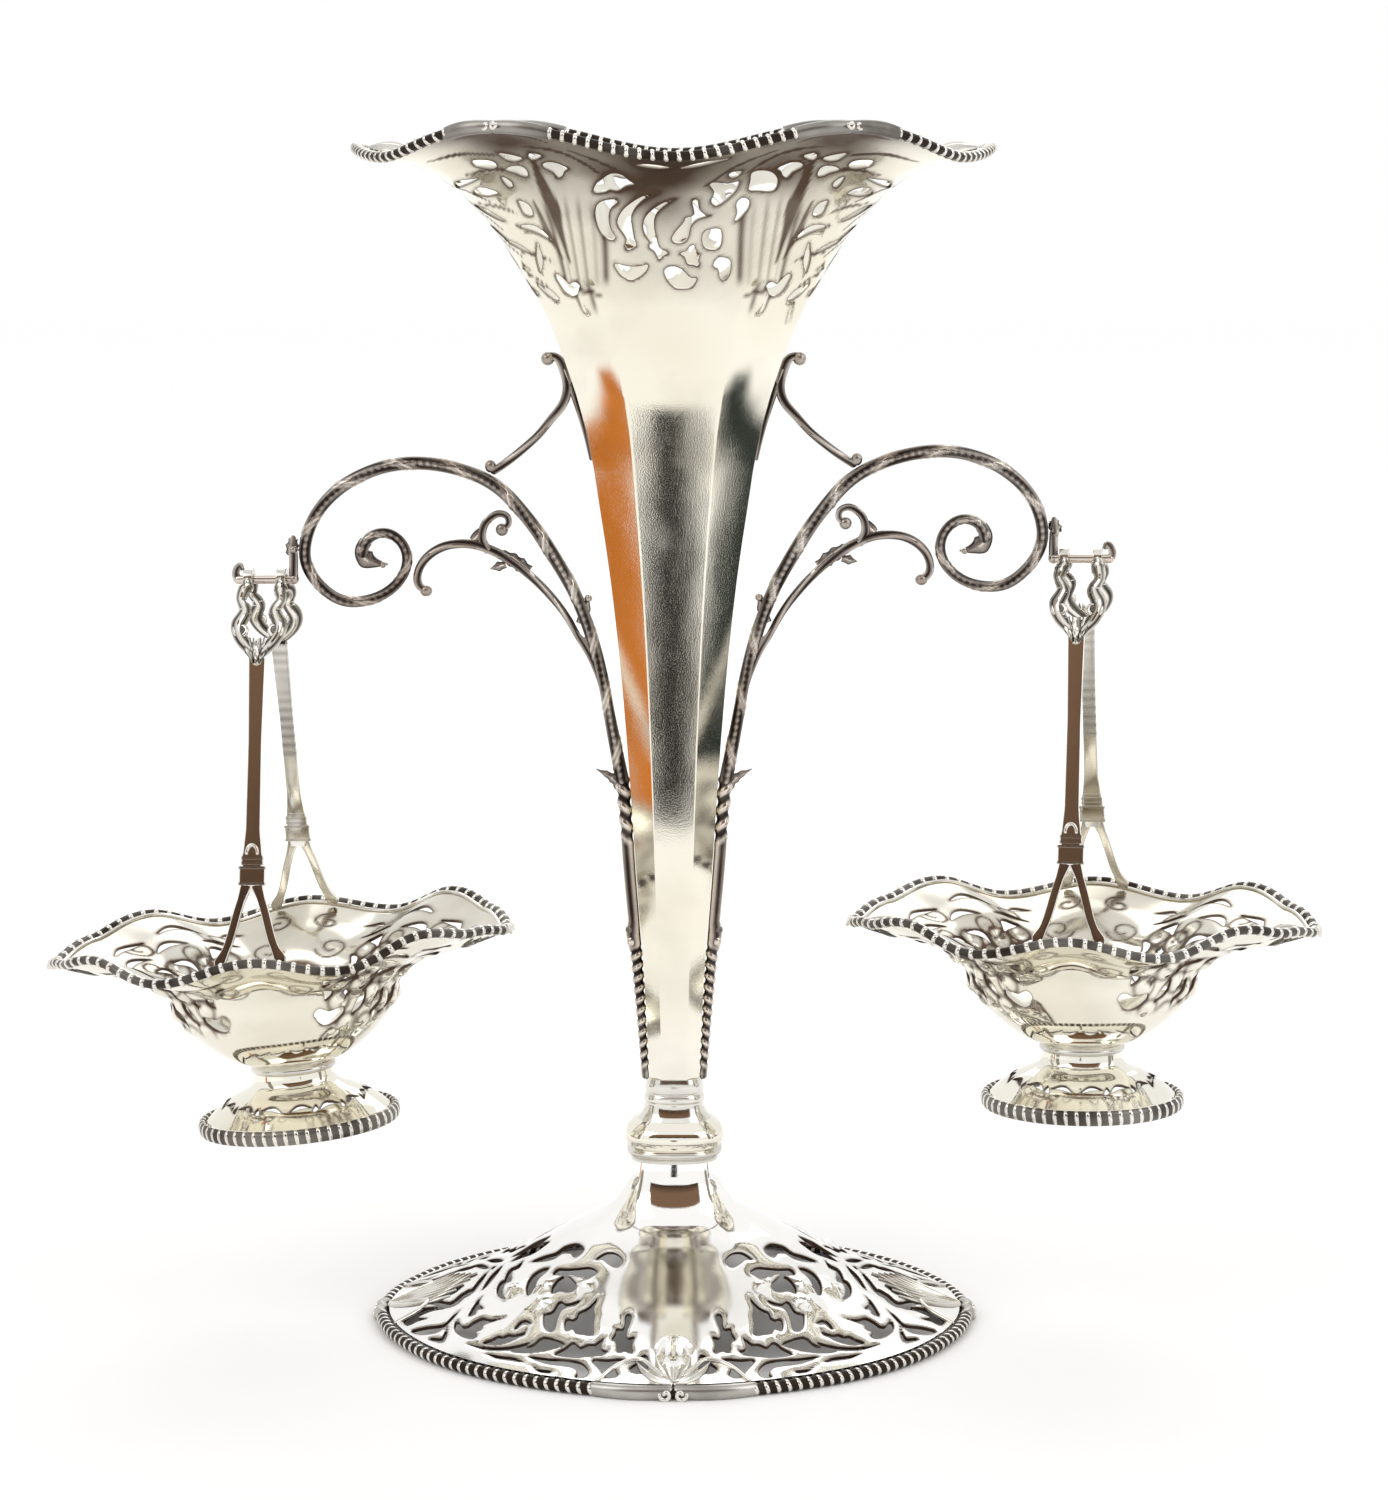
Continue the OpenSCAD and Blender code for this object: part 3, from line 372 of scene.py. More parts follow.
def cut_squares(field):
    """Polygons where the field is positive, over columns that close on themselves and open rows."""
    columns, rows = field.shape
    inside = field > 0
    beyond = np.roll(field, -1, 0)
    cut_round = inside != (beyond > 0)
    cut_up = inside[:, :-1] != inside[:, 1:]
    ids = np.full((3, columns, rows), -1)
    ids[0][inside] = np.arange(inside.sum())
    ids[1][cut_round] = inside.sum() + np.arange(cut_round.sum())
    ids[2][:, :-1][cut_up] = inside.sum() + cut_round.sum() + np.arange(cut_up.sum())
    i, j = np.meshgrid(np.arange(columns), np.arange(rows), indexing="ij")
    with np.errstate(divide="ignore", invalid="ignore"):
        share_round = np.clip(field / (field - beyond), 0.03, 0.97)
        share_up = np.clip(field[:, :-1] / (field[:, :-1] - field[:, 1:]), 0.03, 0.97)
    column = np.concatenate([i[inside], (i + share_round)[cut_round], i[:, :-1][cut_up]])
    row = np.concatenate([j[inside], j[cut_round], (j[:, :-1] + share_up)[cut_up]])
    turn = lambda a: np.roll(a, -1, 0)
    low, high = ids[:, :, :-1], ids[:, :, 1:]
    around = np.stack([low[0], low[1], turn(low[0]), turn(ids[2])[:, :-1], turn(high[0]), high[1], high[0],
                       ids[2][:, :-1]], -1)
    code = sum(np.where(around[..., 2 * k] >= 0, 1 << k, 0) for k in range(4))
    faces = []
    for mask in range(1, 16):
        steps = walk(mask)
        faces += around[code == mask][:, steps].tolist()
    return column, row, faces


def thicken(outer, inner, faces):
    """Closed solid between two skins of the same faces."""
    n = len(outer)
    edges = np.array([(a, b) for f in faces for a, b in zip(f, f[1:] + f[:1])])
    keys, back = edges[:, 0] * n + edges[:, 1], edges[:, 1] * n + edges[:, 0]
    walls = [[b, a, a + n, b + n] for a, b in edges[~np.isin(back, keys)]]
    return np.vstack([outer, inner]), faces + [[i + n for i in reversed(f)] for f in faces] + walls


def sheet_solid(sheet, wall, columns, rows, drawing=None, inside=(1, 0.25)):
    """Sheet of metal; the drawing gives metal, relief, and tarnish with painted shade at each angle and share
    up.
    """
    t_grid = np.asarray(rows, float)
    phi = np.arange(columns) * TAU / columns
    grid_phi, grid_t = np.meshgrid(phi, t_grid, indexing="ij")
    field = drawing(grid_phi, grid_t)[0] if drawing else np.ones_like(grid_phi)
    column, row, faces = cut_squares(field)
    phi, t = column * TAU / columns, np.interp(row, np.arange(len(t_grid)), t_grid)
    relief, dark = drawing(phi, t)[1:] if drawing else (0 * phi, 0 * phi)
    out = normal(sheet, phi, t)
    outer = sheet(phi, t) + out * relief[:, None]
    points, faces = thicken(outer, outer - wall * out, faces)
    return points, faces, np.concatenate([dark, np.clip(dark * inside[0] + inside[1], 0, 1)])


# %% [markdown]
# ## Strokes for the drawing
# The drawings are made of strokes, like the pencil lines that a chaser follows: a line with a width at
# each point. A scroll is a stroke that winds in on itself, and a leaf is one that swells and has a
# notched edge.

# %% Strokes
def stroke_gap(x, y, points, half):
    """Distance from each place to a stroke's edge: negative inside it."""
    p, h = np.asarray(points, float), np.broadcast_to(half, len(points))
    near = np.full(np.shape(x), 1e9)
    for a, b, ha, hb in zip(p[:-1], p[1:], h[:-1], h[1:]):
        d = b - a
        u = np.clip(((x - a[0]) * d[0] + (y - a[1]) * d[1]) / max(d @ d, 1e-12), 0, 1)
        near = np.minimum(near, np.hypot(x - a[0] - u * d[0], y - a[1] - u * d[1]) - mix(ha, hb, u))
    return near


def scroll(centre, radius, start, turns, tight=0.25, steps=20):
    """Points that wind in round a centre; negative turns wind clockwise."""
    u = shares(steps)
    r = radius * mix(1, tight, u)
    a = math.radians(start) + u * turns * TAU
    return np.stack([centre[0] + r * np.cos(a), centre[1] + r * np.sin(a)], -1)


def opening_gap(x, y, places, far):
    """Distance to a closed line through the places: negative inside it, and no more than far outside it."""
    n = len(places)
    line = spline(np.vstack([places[-1:], places, places[:2]]), np.linspace(1, n + 1, 3 * n + 1) / (n + 2))
    gap = np.full(np.shape(x), far)
    low, high = line.min(0) - far, line.max(0) + far
    near = (x > low[0]) & (x < high[0]) & (y > low[1]) & (y < high[1])
    px, py = x[near], y[near]
    inside = np.zeros(len(px), bool)
    for a, b in zip(line[:-1], line[1:]):
        across = a[0] + (py - a[1]) / (b[1] - a[1] + 1e-12) * (b[0] - a[0])
        inside ^= ((a[1] > py) != (b[1] > py)) & (px < across)
    reach = np.minimum(stroke_gap(px, py, line, 0.0), far)
    gap[near] = np.where(inside, -reach, reach)
    return gap


print("piercing and strokes ready")

# %% [markdown]
# ## Places read from the photograph
# The sawn openings follow no rule, so their corners are read from the photograph, in pixels of its
# 1388 by 1500 frame. The camera is known, so each reading can be cast back onto the silver: a fine net of
# places on the sheet is projected into the picture, and the place that falls nearest to the reading is
# the one that it shows.

# %% Casting a reading onto a sheet
PICTURE = np.array([1388, 1500])
FOCUS = PICTURE[1] * camera_data.lens / camera_data.sensor_height
LOOK_DOWN = math.radians(VIEW_TIP)
EYE = np.array(camera.location) * 1000


def pixel_of(points):
    """Where points in millimetres fall in the picture."""
    q = points - EYE
    ahead = q[..., 1] * math.cos(LOOK_DOWN) - q[..., 2] * math.sin(LOOK_DOWN)
    rise = q[..., 1] * math.sin(LOOK_DOWN) + q[..., 2] * math.cos(LOOK_DOWN)
    return np.stack([q[..., 0], -rise], -1) * FOCUS / ahead[..., None] + PICTURE / 2


def on_level(pixel, height):
    """Where the sight through a pixel meets a level plane."""
    side, fall = (np.array(pixel) - PICTURE / 2) / FOCUS
    sight = np.array([side, math.cos(LOOK_DOWN) - fall * math.sin(LOOK_DOWN),
                      -math.sin(LOOK_DOWN) - fall * math.cos(LOOK_DOWN)])
    return EYE + sight * (height - EYE[2]) / sight[2]


def cast(pixel, seen):
    """The number of the net's place that falls nearest to a pixel, and how many pixels it misses by."""
    miss = np.hypot(seen[:, 0] - pixel[0], seen[:, 1] - pixel[1])
    return np.argmin(miss), miss.min()


print("camera's focal length:", round(FOCUS), "pixels")

# %% [markdown]
# ## The foot's openwork
# The lower dome is sawn into scrolls and leaves round a plain shield at the front. Along the edges of its
# openings the sheet is painted darker, a painted shade for the cut walls, and its inside is darkened too:
# tarnish, and painted shade for what shows through the openings. The front's right quarter is read from
# the photograph and mirrored into the other three: every opening is a closed line through its readings,
# cast onto the foot and drawn in a little, so that it ends inside the border. A few bosses are pushed out
# from the back, as embossing is. At its rim the sheet is turned out and down, onto the border.

# %% Foot readings
def foot_skin(phi, t):
    p = foot_sheet(phi, t)
    turned = smooth(0.18, 0, t)
    wider = 1 + 4.0 * turned / np.hypot(p[..., 0], p[..., 1])
    return np.stack([p[..., 0] * wider, p[..., 1] * wider, p[..., 2] - 2.2 * turned], -1)


def foot_polar(points):
    """Angle from the foot's end, and share of its half axes, of points on its plan."""
    x, y = points[..., 0] / FOOT_LONG, -points[..., 1] / FOOT_DEEP
    return np.arctan2(y, x), np.hypot(x, y)


FOOT_EDGE = [(690, 1387), (740, 1383), (800, 1376), (855, 1370), (900, 1358), (933, 1341), (945, 1328),
             (957, 1319)]
FOOT_OPENINGS = {
    "comma_a": [(725, 1261), (729, 1255), (736, 1252), (744, 1253), (753, 1260), (745, 1260), (740, 1264),
        (733, 1268), (728, 1266)],
    "comma_b": [(764, 1249), (769, 1244), (776, 1244), (785, 1247), (793, 1253), (804, 1256), (818, 1262),
        (806, 1262), (794, 1259), (786, 1254), (778, 1254), (774, 1258), (768, 1255)],
    "comma_c": [(799, 1242), (806, 1243), (816, 1247), (826, 1253), (838, 1262), (826, 1258), (815, 1254),
        (806, 1248)],
    "upper": [(751, 1273), (758, 1268), (770, 1269), (782, 1270), (792, 1270), (797, 1276), (789, 1277),
        (778, 1276), (771, 1279), (762, 1282), (756, 1278)],
    "ring": [(800, 1269), (808, 1270), (816, 1275), (821, 1281), (824, 1289), (824, 1298), (819, 1296),
        (815, 1287), (811, 1280), (805, 1275)],
    "wave": [(772, 1290), (780, 1279), (787, 1278), (795, 1285), (799, 1297), (790, 1294), (780, 1295)],
    "wave_low": [(768, 1302), (776, 1305), (785, 1307), (791, 1304), (798, 1314), (804, 1317), (808, 1318),
        (807, 1333), (797, 1335), (794, 1325), (790, 1315), (783, 1310), (774, 1308)],
    "big": [(749, 1298), (758, 1307), (764, 1311), (770, 1314), (772, 1319), (777, 1322), (783, 1321),
        (785, 1328), (783, 1334), (776, 1331), (772, 1335), (765, 1336), (757, 1337), (754, 1334),
        (755, 1325), (753, 1317), (755, 1310)],
    "star": [(716, 1317), (719, 1314), (722, 1317), (723, 1325), (725, 1330), (731, 1329), (732, 1334),
        (736, 1341), (731, 1344), (730, 1354), (722, 1353), (714, 1356), (716, 1347), (712, 1338),
        (720, 1339), (721, 1333), (718, 1325)],
    "long": [(737, 1349), (741, 1352), (747, 1349), (744, 1338), (752, 1345), (760, 1345), (768, 1348),
        (775, 1343), (783, 1349), (795, 1357), (776, 1359), (757, 1358), (744, 1356)],
    "slant": [(783, 1346), (795, 1342), (805, 1341), (811, 1342), (818, 1348), (830, 1353), (842, 1356),
        (842, 1358), (825, 1358), (812, 1356), (800, 1353)],
    "low_a": [(701, 1358), (708, 1360), (710, 1365), (718, 1371), (713, 1376), (705, 1377), (697, 1373),
        (699, 1366)],
    "low_b": [(722, 1362), (727, 1360), (741, 1361), (756, 1361), (748, 1371), (740, 1379), (729, 1378),
        (732, 1370), (731, 1364)],
    "leaf_low": [(759, 1372), (766, 1364), (780, 1361), (800, 1361), (824, 1361), (806, 1366), (790, 1367),
        (776, 1369), (770, 1374), (773, 1379), (763, 1379)],
    "slit_a": [(797, 1372), (810, 1372), (819, 1369), (811, 1375), (798, 1375)],
    "crescent": [(841, 1280), (847, 1281), (852, 1288), (853, 1297), (846, 1304), (848, 1295), (846, 1287)],
    "slit_b": [(826, 1261), (832, 1266), (840, 1270), (844, 1281), (838, 1282), (837, 1272), (830, 1269)],
    "slit_c": [(836, 1251), (846, 1257), (855, 1264), (859, 1271), (852, 1266), (845, 1260)],
    "slit_d": [(847, 1266), (857, 1274), (863, 1282), (867, 1291), (860, 1284), (853, 1275)],
    "slit_e": [(862, 1272), (870, 1279), (877, 1288), (886, 1299), (876, 1293), (868, 1282)],
    "notch": [(867, 1297), (872, 1301), (877, 1307), (881, 1313), (884, 1319), (877, 1317), (875, 1312),
        (868, 1311), (872, 1306), (870, 1301)],
    "end_big": [(848, 1322), (862, 1323), (871, 1321), (876, 1323), (882, 1326), (886, 1329), (892, 1329),
        (895, 1322), (899, 1329), (898, 1336), (893, 1341), (884, 1344), (878, 1341), (880, 1337),
        (872, 1334), (871, 1330), (862, 1326)],
    "leaf_under": [(832, 1340), (840, 1340), (847, 1339), (851, 1342), (857, 1341), (862, 1344),
        (869, 1346), (873, 1349), (860, 1351), (848, 1349), (837, 1344)],
    "slit_f": [(820, 1347), (835, 1351), (850, 1353), (868, 1353), (888, 1349), (870, 1356), (850, 1357),
        (834, 1355)],
    "slit_g": [(828, 1368), (838, 1364), (855, 1362), (870, 1360), (858, 1365), (840, 1367)],
    "v": [(905, 1328), (910, 1337), (914, 1342), (921, 1341), (926, 1343), (916, 1347), (911, 1346),
        (907, 1338)],
    "end_low": [(890, 1311), (900, 1319), (909, 1327), (922, 1328), (933, 1330), (940, 1332), (934, 1337),
        (922, 1337), (914, 1334), (903, 1325)],
    "end_a": [(903, 1309), (920, 1308), (935, 1312), (947, 1321), (941, 1326), (932, 1322), (921, 1319),
        (932, 1318), (918, 1312)],
    "end_b": [(880, 1290), (890, 1295), (900, 1303), (914, 1301), (926, 1302), (912, 1307), (899, 1308),
        (888, 1302)],
    "end_c": [(888, 1287), (900, 1291), (912, 1292), (930, 1295), (915, 1298), (900, 1296)],
    "end_d": [(878, 1278), (890, 1275), (901, 1279), (914, 1286), (932, 1286), (930, 1291), (912, 1290),
        (898, 1282)],
    "spiral": [(821, 1329), (825, 1325), (831, 1325), (838, 1332), (838, 1335), (831, 1329), (826, 1329)],
    "spiral_low": [(826, 1333), (829, 1337), (834, 1339), (842, 1340), (836, 1342), (829, 1341)],
}
FOOT_BOSSES = [(806, 1290), (836, 1292), (812, 1308), (768, 1286)]
print("foot:", len(FOOT_OPENINGS), "openings read")

# %% Foot readings cast onto the sheet
NEAR_PIXELS, BORDER_LEVEL = 0.8, 3.4
net_phi, net_t = np.meshgrid(np.linspace(-1.65, 0.45, 700), np.linspace(0, 0.75, 500), indexing="ij")
foot_net = foot_skin(net_phi, net_t).reshape(-1, 3)
foot_seen = pixel_of(foot_net)


def foot_reading(pixel):
    """Polar place of a reading, on the border's level where it falls past the sheet."""
    place, miss = cast(pixel, foot_seen)
    return foot_polar(foot_net[place] if miss < NEAR_PIXELS else on_level(pixel, BORDER_LEVEL))


edge_read = np.array(sorted(foot_reading(p) for p in FOOT_EDGE))
edge_made = np.array(sorted(zip(*foot_polar(foot_skin(np.linspace(-TAU / 4, 0, 200), np.zeros(200))))))


def foot_plan(pixels, still=0.44):
    """Plan in millimetres of readings, drawn in to the made edge outside the share that stays still."""
    a, out = np.array([foot_reading(p) for p in pixels]).T
    read = np.interp(np.abs(a), *edge_read.T)
    made = np.interp(np.abs(a), *edge_made.T) - 0.01
    out = np.where(out > still, still + (out - still) * (made - still) / (read - still), out)
    return np.stack([FOOT_LONG * out * np.cos(a), FOOT_DEEP * out * np.sin(a)], -1)


foot_openings = [foot_plan(pixels) for pixels in FOOT_OPENINGS.values()]
BOSSES = foot_plan(FOOT_BOSSES)
print("foot's openings reach out to", max(line[:, 0].max() for line in foot_openings).round(1), "mm")

# %% Foot sheet
def foot_drawing(phi, t):
    p = foot_skin(phi, t)
    x, y = np.abs(p[..., 0]), np.abs(p[..., 1])
    gap = np.min([opening_gap(x, y, line, 4.0) for line in foot_openings], axis=0)
    chased = smooth(0.56, 0.46, t)
    relief = 0.3 * (1 - np.exp(-np.maximum(gap, 0) / 0.5))
    for middle in BOSSES:
        r, a = np.hypot(x - middle[0], y - middle[1]), np.arctan2(y - middle[1], x - middle[0])
        relief = relief + 1.3 * np.exp(-((r / 2.8) ** 2)) * (1 + 0.35 * np.cos(5 * a) * (r > 1))
    knob = np.maximum(0, 1 - np.hypot(x / 4.6, (y - 62.5) / 6.5) ** 2)
    # painted shade: the sheet darkens along the edges of its openings, where the cut walls would be in shadow
    dark = chased * (0.95 * np.exp(-np.abs(gap) / 0.28) + 0.06)
    return gap, relief * chased + 1.8 * np.sqrt(knob), np.clip(dark, 0, 1)


foot_rows = np.concatenate([np.linspace(0, 0.5, 74), np.linspace(0.5, 1, 14)[1:]])
# the inner skin is darkened strongly: tarnish, and painted shade for what shows through the openings
piece("foot", [sheet_solid(foot_skin, FOOT_WALL, 560, foot_rows, foot_drawing, (1, 0.5))], FOOT,
      replaces=["foot_dome"])

# %% [markdown]
# ## The vase
# The trumpet is raised in eight flat panels that fade into a waved mouth. Its top is pierced: kidney
# shapes at the bottom, small stars, then crescents with fish tails and leaf slots that grow towards the
# edge, nearly all of them read from the photograph. The sides, which it hardly shows, and the front's edge
# get slots of the same kind, listed one by one. The drawing uses degrees from the middle of the front and
# "heights in radii", so that a shape keeps its look while the vase widens. The back repeats the front.
# Leaf tongues are embossed down the corners between the panels.

# %% Mouth readings
MOUTH_FOOT = 17.05


def heights_in_radii(sheet, t):
    share = shares(400)
    p = sheet(np.full(400, TAU / 8), share)
    r = np.hypot(p[:, 0], p[:, 1])
    steps = np.linalg.norm(np.diff(p, axis=0), axis=1) / ((r[1:] + r[:-1]) / 2)
    return np.interp(t, share, np.concatenate([[0], np.cumsum(steps)]))


def hole(places, low, high, end=None, steps=12):
    """A slot through places of (degrees, height in radii), thin at its ends and full in the middle."""
    p = spline(places, shares(steps)) * [math.radians(1), 1]
    return p, spline([[low], [high], [low if end is None else end]], shares(steps))[:, 0]


def star(a, v, size):
    across = math.degrees(size)
    return [hole([(a - across, v), (a, v), (a + across, v)], 0.003, 0.4 * size),
            hole([(a, v - size), (a, v), (a, v + size)], 0.003, 0.4 * size)]


FRONT_OPENINGS = {
    "kidney_left": [(614, 263), (618, 272), (625, 278), (632, 280), (640, 277), (646, 271), (648, 264),
        (640, 266), (630, 266), (620, 264)],
    "kidney_mid": [(664, 272), (668, 281), (675, 288), (683, 289), (692, 287), (697, 278), (690, 277),
        (683, 270), (675, 266), (667, 267)],
    "moon": [(713, 266), (717, 258), (723, 257), (729, 259), (731, 266), (729, 275), (723, 281),
        (719, 276), (719, 269)],
    "crescent_a": [(597, 206), (602, 201), (616, 199), (617, 203), (610, 209), (609, 220), (611, 230),
        (616, 238), (610, 240), (603, 235), (598, 226), (596, 214)],
    "sail": [(593, 193), (596, 184), (602, 179), (612, 173), (622, 174), (629, 180), (636, 184),
        (626, 186), (618, 191), (609, 190), (605, 192)],
    "crescent_b": [(658, 192), (645, 195), (634, 201), (624, 209), (618, 218), (617, 225), (622, 232),
        (627, 240), (624, 248), (629, 250), (637, 245), (634, 238), (632, 226), (631, 216), (636, 207),
        (645, 198)],
    "crescent_c": [(676, 198), (664, 202), (654, 208), (646, 216), (643, 226), (645, 235), (651, 243),
        (648, 247), (655, 252), (659, 260), (663, 256), (670, 252), (660, 248), (657, 238), (654, 228),
        (655, 216), (664, 206)],
    "drop": [(692, 200), (698, 200), (699, 208), (704, 214), (711, 215), (698, 219), (691, 226),
        (688, 238), (683, 243), (675, 243), (672, 239), (675, 232), (684, 222), (686, 217), (694, 214)],
    "star_right": [(702, 236), (706, 230), (718, 228), (722, 234), (720, 247), (713, 250), (704, 247)],
    "star_mid": [(678, 252), (686, 251), (690, 246), (694, 245), (696, 251), (700, 254), (698, 260),
        (700, 267), (693, 265), (687, 264), (685, 257)],
    "fan_right": [(709, 183), (718, 182), (728, 183), (739, 181), (736, 190), (730, 197), (722, 203),
        (716, 206), (711, 201), (714, 192)],
    "leaf_right": [(736, 203), (742, 197), (749, 200), (749, 206), (744, 213), (738, 220), (734, 221),
        (737, 212)],
    "small_right": [(728, 174), (733, 171), (742, 171), (738, 176), (732, 178)],
    "window": [(752, 172), (762, 170), (772, 172), (777, 179), (777, 187), (772, 191), (760, 191),
        (749, 190), (750, 180)],
}
CORNER_OPENINGS = {
    "wing": [(776, 168), (783, 165), (791, 162), (800, 162), (803, 166), (797, 170), (791, 173),
        (788, 178), (783, 176), (781, 171)],
    "side_a": [(803, 156), (810, 153), (815, 152), (817, 157), (811, 160)],
    "side_b": [(822, 158), (830, 155), (840, 153), (848, 152), (843, 157), (836, 161), (828, 161)],
    "side_c": [(817, 176), (820, 168), (827, 165), (835, 166), (840, 170), (830, 173), (823, 176)],
    "side_d": [(832, 184), (838, 178), (845, 176), (842, 182), (836, 188)],
    "side_e": [(813, 210), (818, 203), (828, 200), (826, 207), (822, 214), (814, 216)],
    "side_f": [(848, 166), (853, 161), (863, 159), (873, 160), (870, 166), (855, 169)],
}
DARK_BANDS = {
    "outer": [(812, 162), (806, 178), (798, 195), (790, 208), (787, 222), (782, 240), (775, 260)],
    "inner": [(812, 202), (806, 214), (799, 231), (790, 246), (783, 258)],
    "tip": [(768, 278), (764, 288), (755, 292), (744, 297)],
}
SIDE_HOLES = [
    hole([(45, 0.31), (42, 0.2), (37, 0.24)], 0.03, 0.05),
    hole([(58, 0.28), (54, 0.2), (51, 0.15)], 0.02, 0.042),
    hole([(53, 0.38), (50, 0.47), (47, 0.58)], 0.008, 0.03),
    hole([(64, 0.64), (58, 0.61), (52, 0.53)], 0.006, 0.022),
    hole([(51, 0.73), (45, 0.67), (41, 0.57)], 0.006, 0.022),
    hole([(74, 0.74), (67, 0.71), (60, 0.63)], 0.006, 0.024),
    hole([(58, 1.0), (53, 0.99), (49, 0.95)], 0.008, 0.032),
    hole([(70, 0.9), (62, 0.87), (55, 0.79)], 0.008, 0.03),
    hole([(84, 0.55), (77, 0.51), (70, 0.42)], 0.01, 0.036),
    hole([(87, 0.3), (80, 0.25), (74, 0.25)], 0.02, 0.05),
    hole([(68, 0.3), (65, 0.22), (62, 0.2)], 0.02, 0.04),
    hole([(86, 0.78), (81, 0.83), (76, 0.92)], 0.008, 0.032),
    *star(61, 0.42, 0.05), *star(79, 0.38, 0.045),
    hole([(66, 1.04), (58, 1.08), (50, 1.07)], 0.005, 0.02),
    hole([(84, 1.0), (76, 1.04), (70, 1.04)], 0.006, 0.024),
]
print("mouth:", len(FRONT_OPENINGS) + len(CORNER_OPENINGS), "openings read")

# %% Mouth readings cast onto the sheet
net_phi, net_t = np.meshgrid(np.linspace(-TAU / 2, 0, 700), np.linspace(0.6, 1, 600), indexing="ij")
vase_net = vase_sheet(net_phi, net_t)
facing = ((vase_net - EYE) * normal(vase_sheet, net_phi, net_t)).sum(-1) < 0
vase_seen = pixel_of(vase_net[facing])
vase_places = np.stack([net_phi + TAU / 4, heights_in_radii(vase_sheet, net_t) - MOUTH_FOOT], -1)[facing]


def vase_readings(pixels):
    """Angle from the front's middle, and height in radii, of readings on the mouth."""
    return np.array([vase_places[cast(p, vase_seen)[0]] for p in pixels])


def band(pixels, low, high):
    places = spline(vase_readings(pixels), shares(12))
    return places, spline([[low], [high], [low]], shares(12))[:, 0]


front_openings = [vase_readings(pixels) for pixels in FRONT_OPENINGS.values()]
corner_openings = [vase_readings(pixels) for pixels in CORNER_OPENINGS.values()]
dark_bands = [band(DARK_BANDS["outer"], 0.012, 0.036), band(DARK_BANDS["inner"], 0.006, 0.02),
              band(DARK_BANDS["tip"], 0.012, 0.02)]
RIM_SLOTS = [hole([(-7, 1.21), (-4, 1.23), (-1, 1.23)], 0.01, 0.025),
             hole([(2, 1.22), (6, 1.24), (11, 1.23)], 0.01, 0.025)]
print("mouth's openings reach up to", max(p[:, 1].max() for p in front_openings).round(2), "radii")

# %% Vase sheet
def front_chart(phi):
    """Angle from the nearer of the middles of front and back."""
    return (phi + TAU / 2) % (TAU / 2) - TAU / 4


CHASED = [hole([(a, v), (a + 6, v + 0.09), (a + 14, v + 0.13)], 0.002, 0.009)
          for a, v in ((44, 0.42), (52, 0.25), (58, 0.5), (66, 0.55), (48, 0.8), (60, 0.72), (74, 0.6),
                       (70, 0.8), (38, 0.98), (54, 0.92), (18, 1.02), (8, 1.02), (26, 1.2), (40, 1.14))]
CORNER = 36


def vase_drawing(phi, t):
    u, v = front_chart(phi), heights_in_radii(vase_sheet, t) - MOUTH_FOOT
    gap, line, brown_band = (np.full(np.shape(u), 0.3) for k in range(3))
    near = (v > -0.1) & (v < 1.4)
    x, y = u[near], v[near]
    gap[near] = np.min([opening_gap(x, y, places, 0.3) for places in front_openings]
                       + [opening_gap(np.abs(x), y, places, 0.3) for places in corner_openings]
                       + [stroke_gap(x, y, *h) for h in RIM_SLOTS]
                       + [stroke_gap(np.abs(x), y, *h) for h in SIDE_HOLES], axis=0)
    line[near] = np.min([stroke_gap(np.abs(x), y, *h) for h in CHASED], axis=0)
    brown_band[near] = np.min([stroke_gap(np.abs(x), y, *b) for b in dark_bands], axis=0)
    a = np.degrees(np.abs(u))
    across = (a - 33 + 9 * (v - 0.3)) / 8.5
    tall = smooth(0.2, 0.3, v) * smooth(0.86, 0.7, v)
    tongue = np.clip(1 - across**2, 0, 1) * tall
    starts, ends = smooth(-0.04, 0.08, v), smooth(0.3, 0.2, v)
    tip = np.exp(-(((a - CORNER) / 2.6) ** 2)) * starts * ends
    flute = np.cos(across * 4.5 * np.pi)
    groove = np.exp(-(((np.abs(across) - 1.02) / 0.13) ** 2)) * tall
    groove = groove + np.exp(-((np.abs(a - CORNER) - 3.6) ** 2)) * starts * ends
    # tarnish and painted shade: the sheet darkens at the edges of its openings
    edge = np.exp(-np.maximum(gap, 0) / 0.007) * smooth(-0.1, 0.1, v)
    lip = np.exp(-np.maximum(gap, 0) / 0.02) * smooth(0.02, 0.3, v)
    relief = tongue * (1.3 + 0.25 * flute) + 1.1 * tip + 0.25 * lip
    patch = 0.5 + 0.5 * np.cos(np.degrees(u) * 0.17 + 8 * v) * np.cos(6 * v + 1)
    brown = smooth(58, 24, a) * (0.24 * smooth(0.0, 0.5, v) + smooth(0.6, 1.05, v) * (0.2 + 0.5 * patch))
    brown = brown + 0.45 * np.exp(-(((a - CORNER) / 8) ** 2)) * smooth(1.0, 1.2, v)
    brown = brown + 0.3 * np.exp(-((a / 9) ** 2)) * smooth(0.95, 1.1, v)
    brown = brown + 0.75 * smooth(0.008, -0.01, brown_band)
    dark = 0.85 * edge + brown + 0.45 * tongue * np.maximum(0, -flute)
    dark = dark + 0.75 * groove + 0.8 * smooth(0.006, 0, line)
    return gap * 45, relief, np.clip(dark, 0, 1)


vase_rows = np.concatenate([np.linspace(0, 0.63, 20), np.linspace(0.63, 1, 79)[1:]])
piece("vase_sheet", [sheet_solid(vase_sheet, WALL, 500, vase_rows, vase_drawing, (0.25, 0))], SHEET,
      replaces=["vase"], sharp=30)

